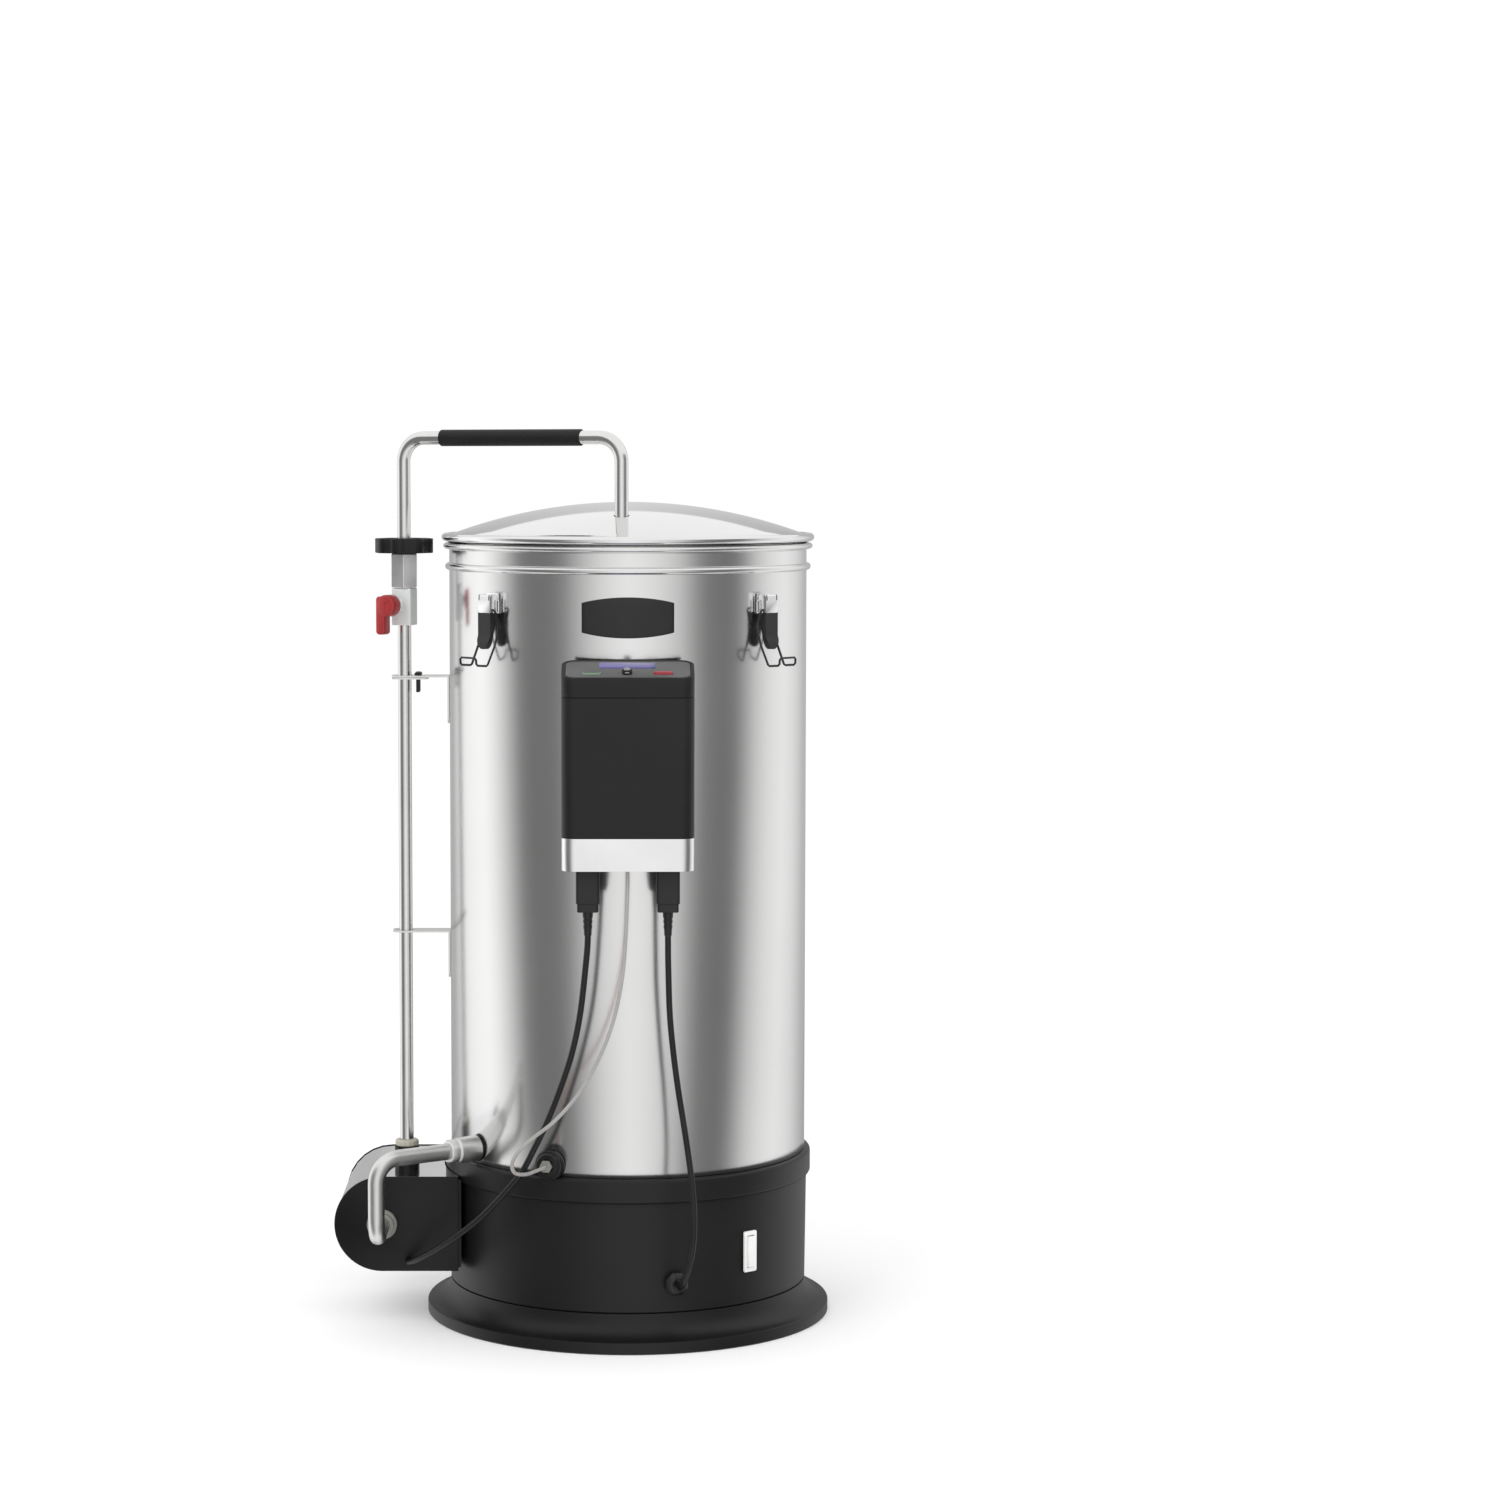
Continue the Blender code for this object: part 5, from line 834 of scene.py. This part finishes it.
def clip(side, turn):
    """A lid clip in a frame on the wall: X along the wall, Y up, Z out."""
    wall = outward(turn, KETTLE_RADIUS, PIVOT_Z)
    plate = rounded(f"clip_{side}_plate", (-0.0075, -0.012, 0.0006), (0.0075, 0.0055, 0.0016), 0.0012, wall,
                    0.0003)
    pin = turned("pin", [(0.0, -0.0080), (0.0011, -0.0080), (0.0011, 0.0080), (0.0, 0.0080)],
                 wall @ at(0.0, 0.0, 0.0075) @ Matrix.Rotation(math.radians(90.0), 4, "Y"), 20)
    tongue = rounded("tongue", (-0.0035, -0.0017, 0.0010), (0.0035, 0.0017, 0.0090), 0.0006, wall, 0.0003)
    parts = [plate, tongue, pin]
    for x in (-0.0087, 0.0087):
        beside = wall @ at(x, -0.0055, 0.0040) @ Matrix.Rotation(math.radians(90.0), 4, "Y")
        ear = rounded("ear", (-0.0021, -0.0056, -0.0004), (0.0021, 0.0056, 0.0004), 0.0020, beside, 0.0002, 8)
        cut(ear, rounded("slot", (-0.0012, -0.0047, -0.002), (0.0012, 0.0047, 0.002), 0.0011, beside, 0.0, 8))
        parts.append(ear)
    keep(join(f"clip_{side}_plate", *parts), chrome, "chrome", "root", f"latch_{side}_tongue")
    body = f"latch_{side}_lever"
    over = wall @ Matrix.Rotation(math.radians(90.0), 4, "Y")
    cover = rounded(f"clip_{side}_cover", (-0.0112, -0.0110, -0.0079), (-0.0030, 0.0048, 0.0079), 0.0026, over,
                    0.0004, 8, lambda end: end.y > 0.0)
    cut(cover, rounded("channel", (-0.0052, -0.0200, -0.02), (0.0052, 0.0200, 0.0099), 0.0, wall, 0.0))
    for x in (-0.0062, 0.0062):
        cut(cover, rounded("slot", (x - 0.0006, -0.0005, 0.0094), (x + 0.0006, 0.0100, 0.0200), 0.0, wall,
                           0.0))
    keep(cover, chrome, "chrome", body)
    # Painted shade: thin black strips at the bottoms of the cover's slots stand in for the shadow where the
    # folded corners turn over.
    painted_shade_lines = [rounded("painted_shade_line", (x - 0.0007, -0.0006, 0.0088), (x + 0.0007, 0.0040, 0.0098), 0.0, wall, 0.0001)
             for x in (-0.0062, 0.0062)]
    keep(join(f"clip_{side}_lines", *painted_shade_lines), coated_black, "black_plastic", body)
    keep(clip_grip(f"clip_{side}_grip", wall), grip_black, "black_plastic", body, f"latch_{side}_lever")
    carry(f"latch_{side}_bail", coated_black)


def carry(name, look):
    """Give a frame node a better finish."""
    for slot in nodes[name].material_slots:
        slot.material = look


clip("left", -LATCH_AZIMUTH)
clip("right", LATCH_AZIMUTH)

# ---- frame nodes that keep their shape ------------------------------------
for look, names in (
        (bracket_steel, ("upper_bracket", "lower_bracket", "clamp_plate")),
        (coated_black, ("clamp_screw_front", "clamp_screw_back")),
        (chrome, ("pump_band", "valve_ball")),
        (pump_black, ("pump_chassis", "pump_volute", "pump_impeller", "base_plate")),
        (seal_beige, ("riser_seal",)),
        (union_grey, ("sensor_probe",)),
        (inner_steel, ("kettle_filter", "pump_motor")),
        (element_metal, ("heating_element",)),
        (board_green, ("control_board",))):
    for name in names:
        carry(name, look)


# ---- studio ---------------------------------------------------------------
def studio():
    """A white room, a white floor, and a tall ring of light and dark cards that only
    shows in reflections."""
    world = bpy.data.worlds.new("room")
    world.use_nodes = True
    world.node_tree.nodes["Background"].inputs["Color"].default_value = (1.0, 1.0, 1.0, 1.0)
    world.node_tree.nodes["Background"].inputs["Strength"].default_value = 1.0
    bpy.context.scene.world = world

    floor = add(bpy.ops.mesh.primitive_plane_add, "floor", size=60.0)
    bpy.ops.object.mode_set(mode="OBJECT")
    white = bpy.data.materials.new("floor_white")
    white.use_nodes = True
    shader = white.node_tree.nodes["Principled BSDF"]
    shader.inputs["Base Color"].default_value = (0.86, 0.86, 0.86, 1.0)
    shader.inputs["Roughness"].default_value = 1.0
    shader.inputs["Specular IOR Level"].default_value = 0.0
    shader.inputs["Emission Color"].default_value = (1.0, 1.0, 1.0, 1.0)
    shader.inputs["Emission Strength"].default_value = 0.16
    floor.data.materials.append(white)
    floor.visible_glossy = False

    cards = add(bpy.ops.mesh.primitive_cylinder_add, "cards", vertices=128, radius=2.0, depth=5.5,
                end_fill_type="NOTHING", location=(0.0, 0.0, -1.25))
    bpy.ops.mesh.flip_normals()
    bpy.ops.object.mode_set(mode="OBJECT")
    look = bpy.data.materials.new("card_light")
    look.use_nodes = True
    tree = look.node_tree
    tree.nodes.remove(tree.nodes["Principled BSDF"])
    glow = tree.nodes.new("ShaderNodeEmission")
    place = tree.nodes.new("ShaderNodeTexCoord")
    apart = tree.nodes.new("ShaderNodeSeparateXYZ")
    tree.links.new(place.outputs["Object"], apart.inputs["Vector"])
    back = tree.nodes.new("ShaderNodeMath")
    back.operation = "MULTIPLY"
    back.inputs[1].default_value = -1.0
    tree.links.new(apart.outputs["Y"], back.inputs[0])
    turn = tree.nodes.new("ShaderNodeMath")
    turn.operation = "ARCTAN2"
    tree.links.new(apart.outputs["X"], turn.inputs[0])
    tree.links.new(back.outputs["Value"], turn.inputs[1])
    share = tree.nodes.new("ShaderNodeMapRange")
    share.inputs["From Min"].default_value = -math.pi
    share.inputs["From Max"].default_value = math.pi
    tree.links.new(turn.outputs["Value"], share.inputs["Value"])
    ramp = tree.nodes.new("ShaderNodeValToRGB")
    stops = ramp.color_ramp.elements
    cards_seen = [(-180, 0.70), (-166, 0.50), (-152, 0.44), (-140, 0.80), (-126, 1.05), (-104, 1.18),
                  (-94, 1.00), (-86, 0.76), (-79, 0.50), (-71, 0.24), (-62, 0.19), (-48, 0.20), (-40, 0.27),
                  (-30, 0.52), (-16, 0.82), (0, 0.99), (12, 0.92), (24, 0.78), (33, 0.62), (41, 0.38),
                  (49, 0.23), (62, 0.185), (71, 0.22), (79, 0.42), (88, 0.68), (100, 0.88), (116, 0.99),
                  (132, 0.84), (152, 0.52), (166, 0.50), (180, 0.70)]
    for k, (degrees, light) in enumerate(cards_seen):
        stop = stops[k] if k < 2 else stops.new(1.0)
        stop.position = (degrees + 180.0) / 360.0
        stop.color = (light, light, light, 1.0)
    tree.links.new(share.outputs["Result"], ramp.inputs["Fac"])
    tree.links.new(ramp.outputs["Color"], glow.inputs["Color"])
    tree.links.new(glow.outputs["Emission"], tree.nodes["Material Output"].inputs["Surface"])
    cards.data.materials.append(look)
    cards.visible_camera = False
    cards.visible_diffuse = False
    cards.visible_shadow = False
    cards.visible_transmission = False

    for name, spot, size, energy in (("key", (-1.6, -2.2, 2.6), 1.6, 26.0),
                                     ("fill", (2.0, -1.6, 1.6), 1.6, 10.0)):
        light = bpy.data.lights.new(name, "AREA")
        light.size = size
        light.energy = energy
        lamp = bpy.data.objects.new(name, light)
        bpy.context.collection.objects.link(lamp)
        lamp.location = spot
        lamp.rotation_euler = (Vector((0.0, 0.0, 0.35)) - Vector(spot)).to_track_quat("-Z", "Y").to_euler()
        lamp.visible_glossy = False


studio()
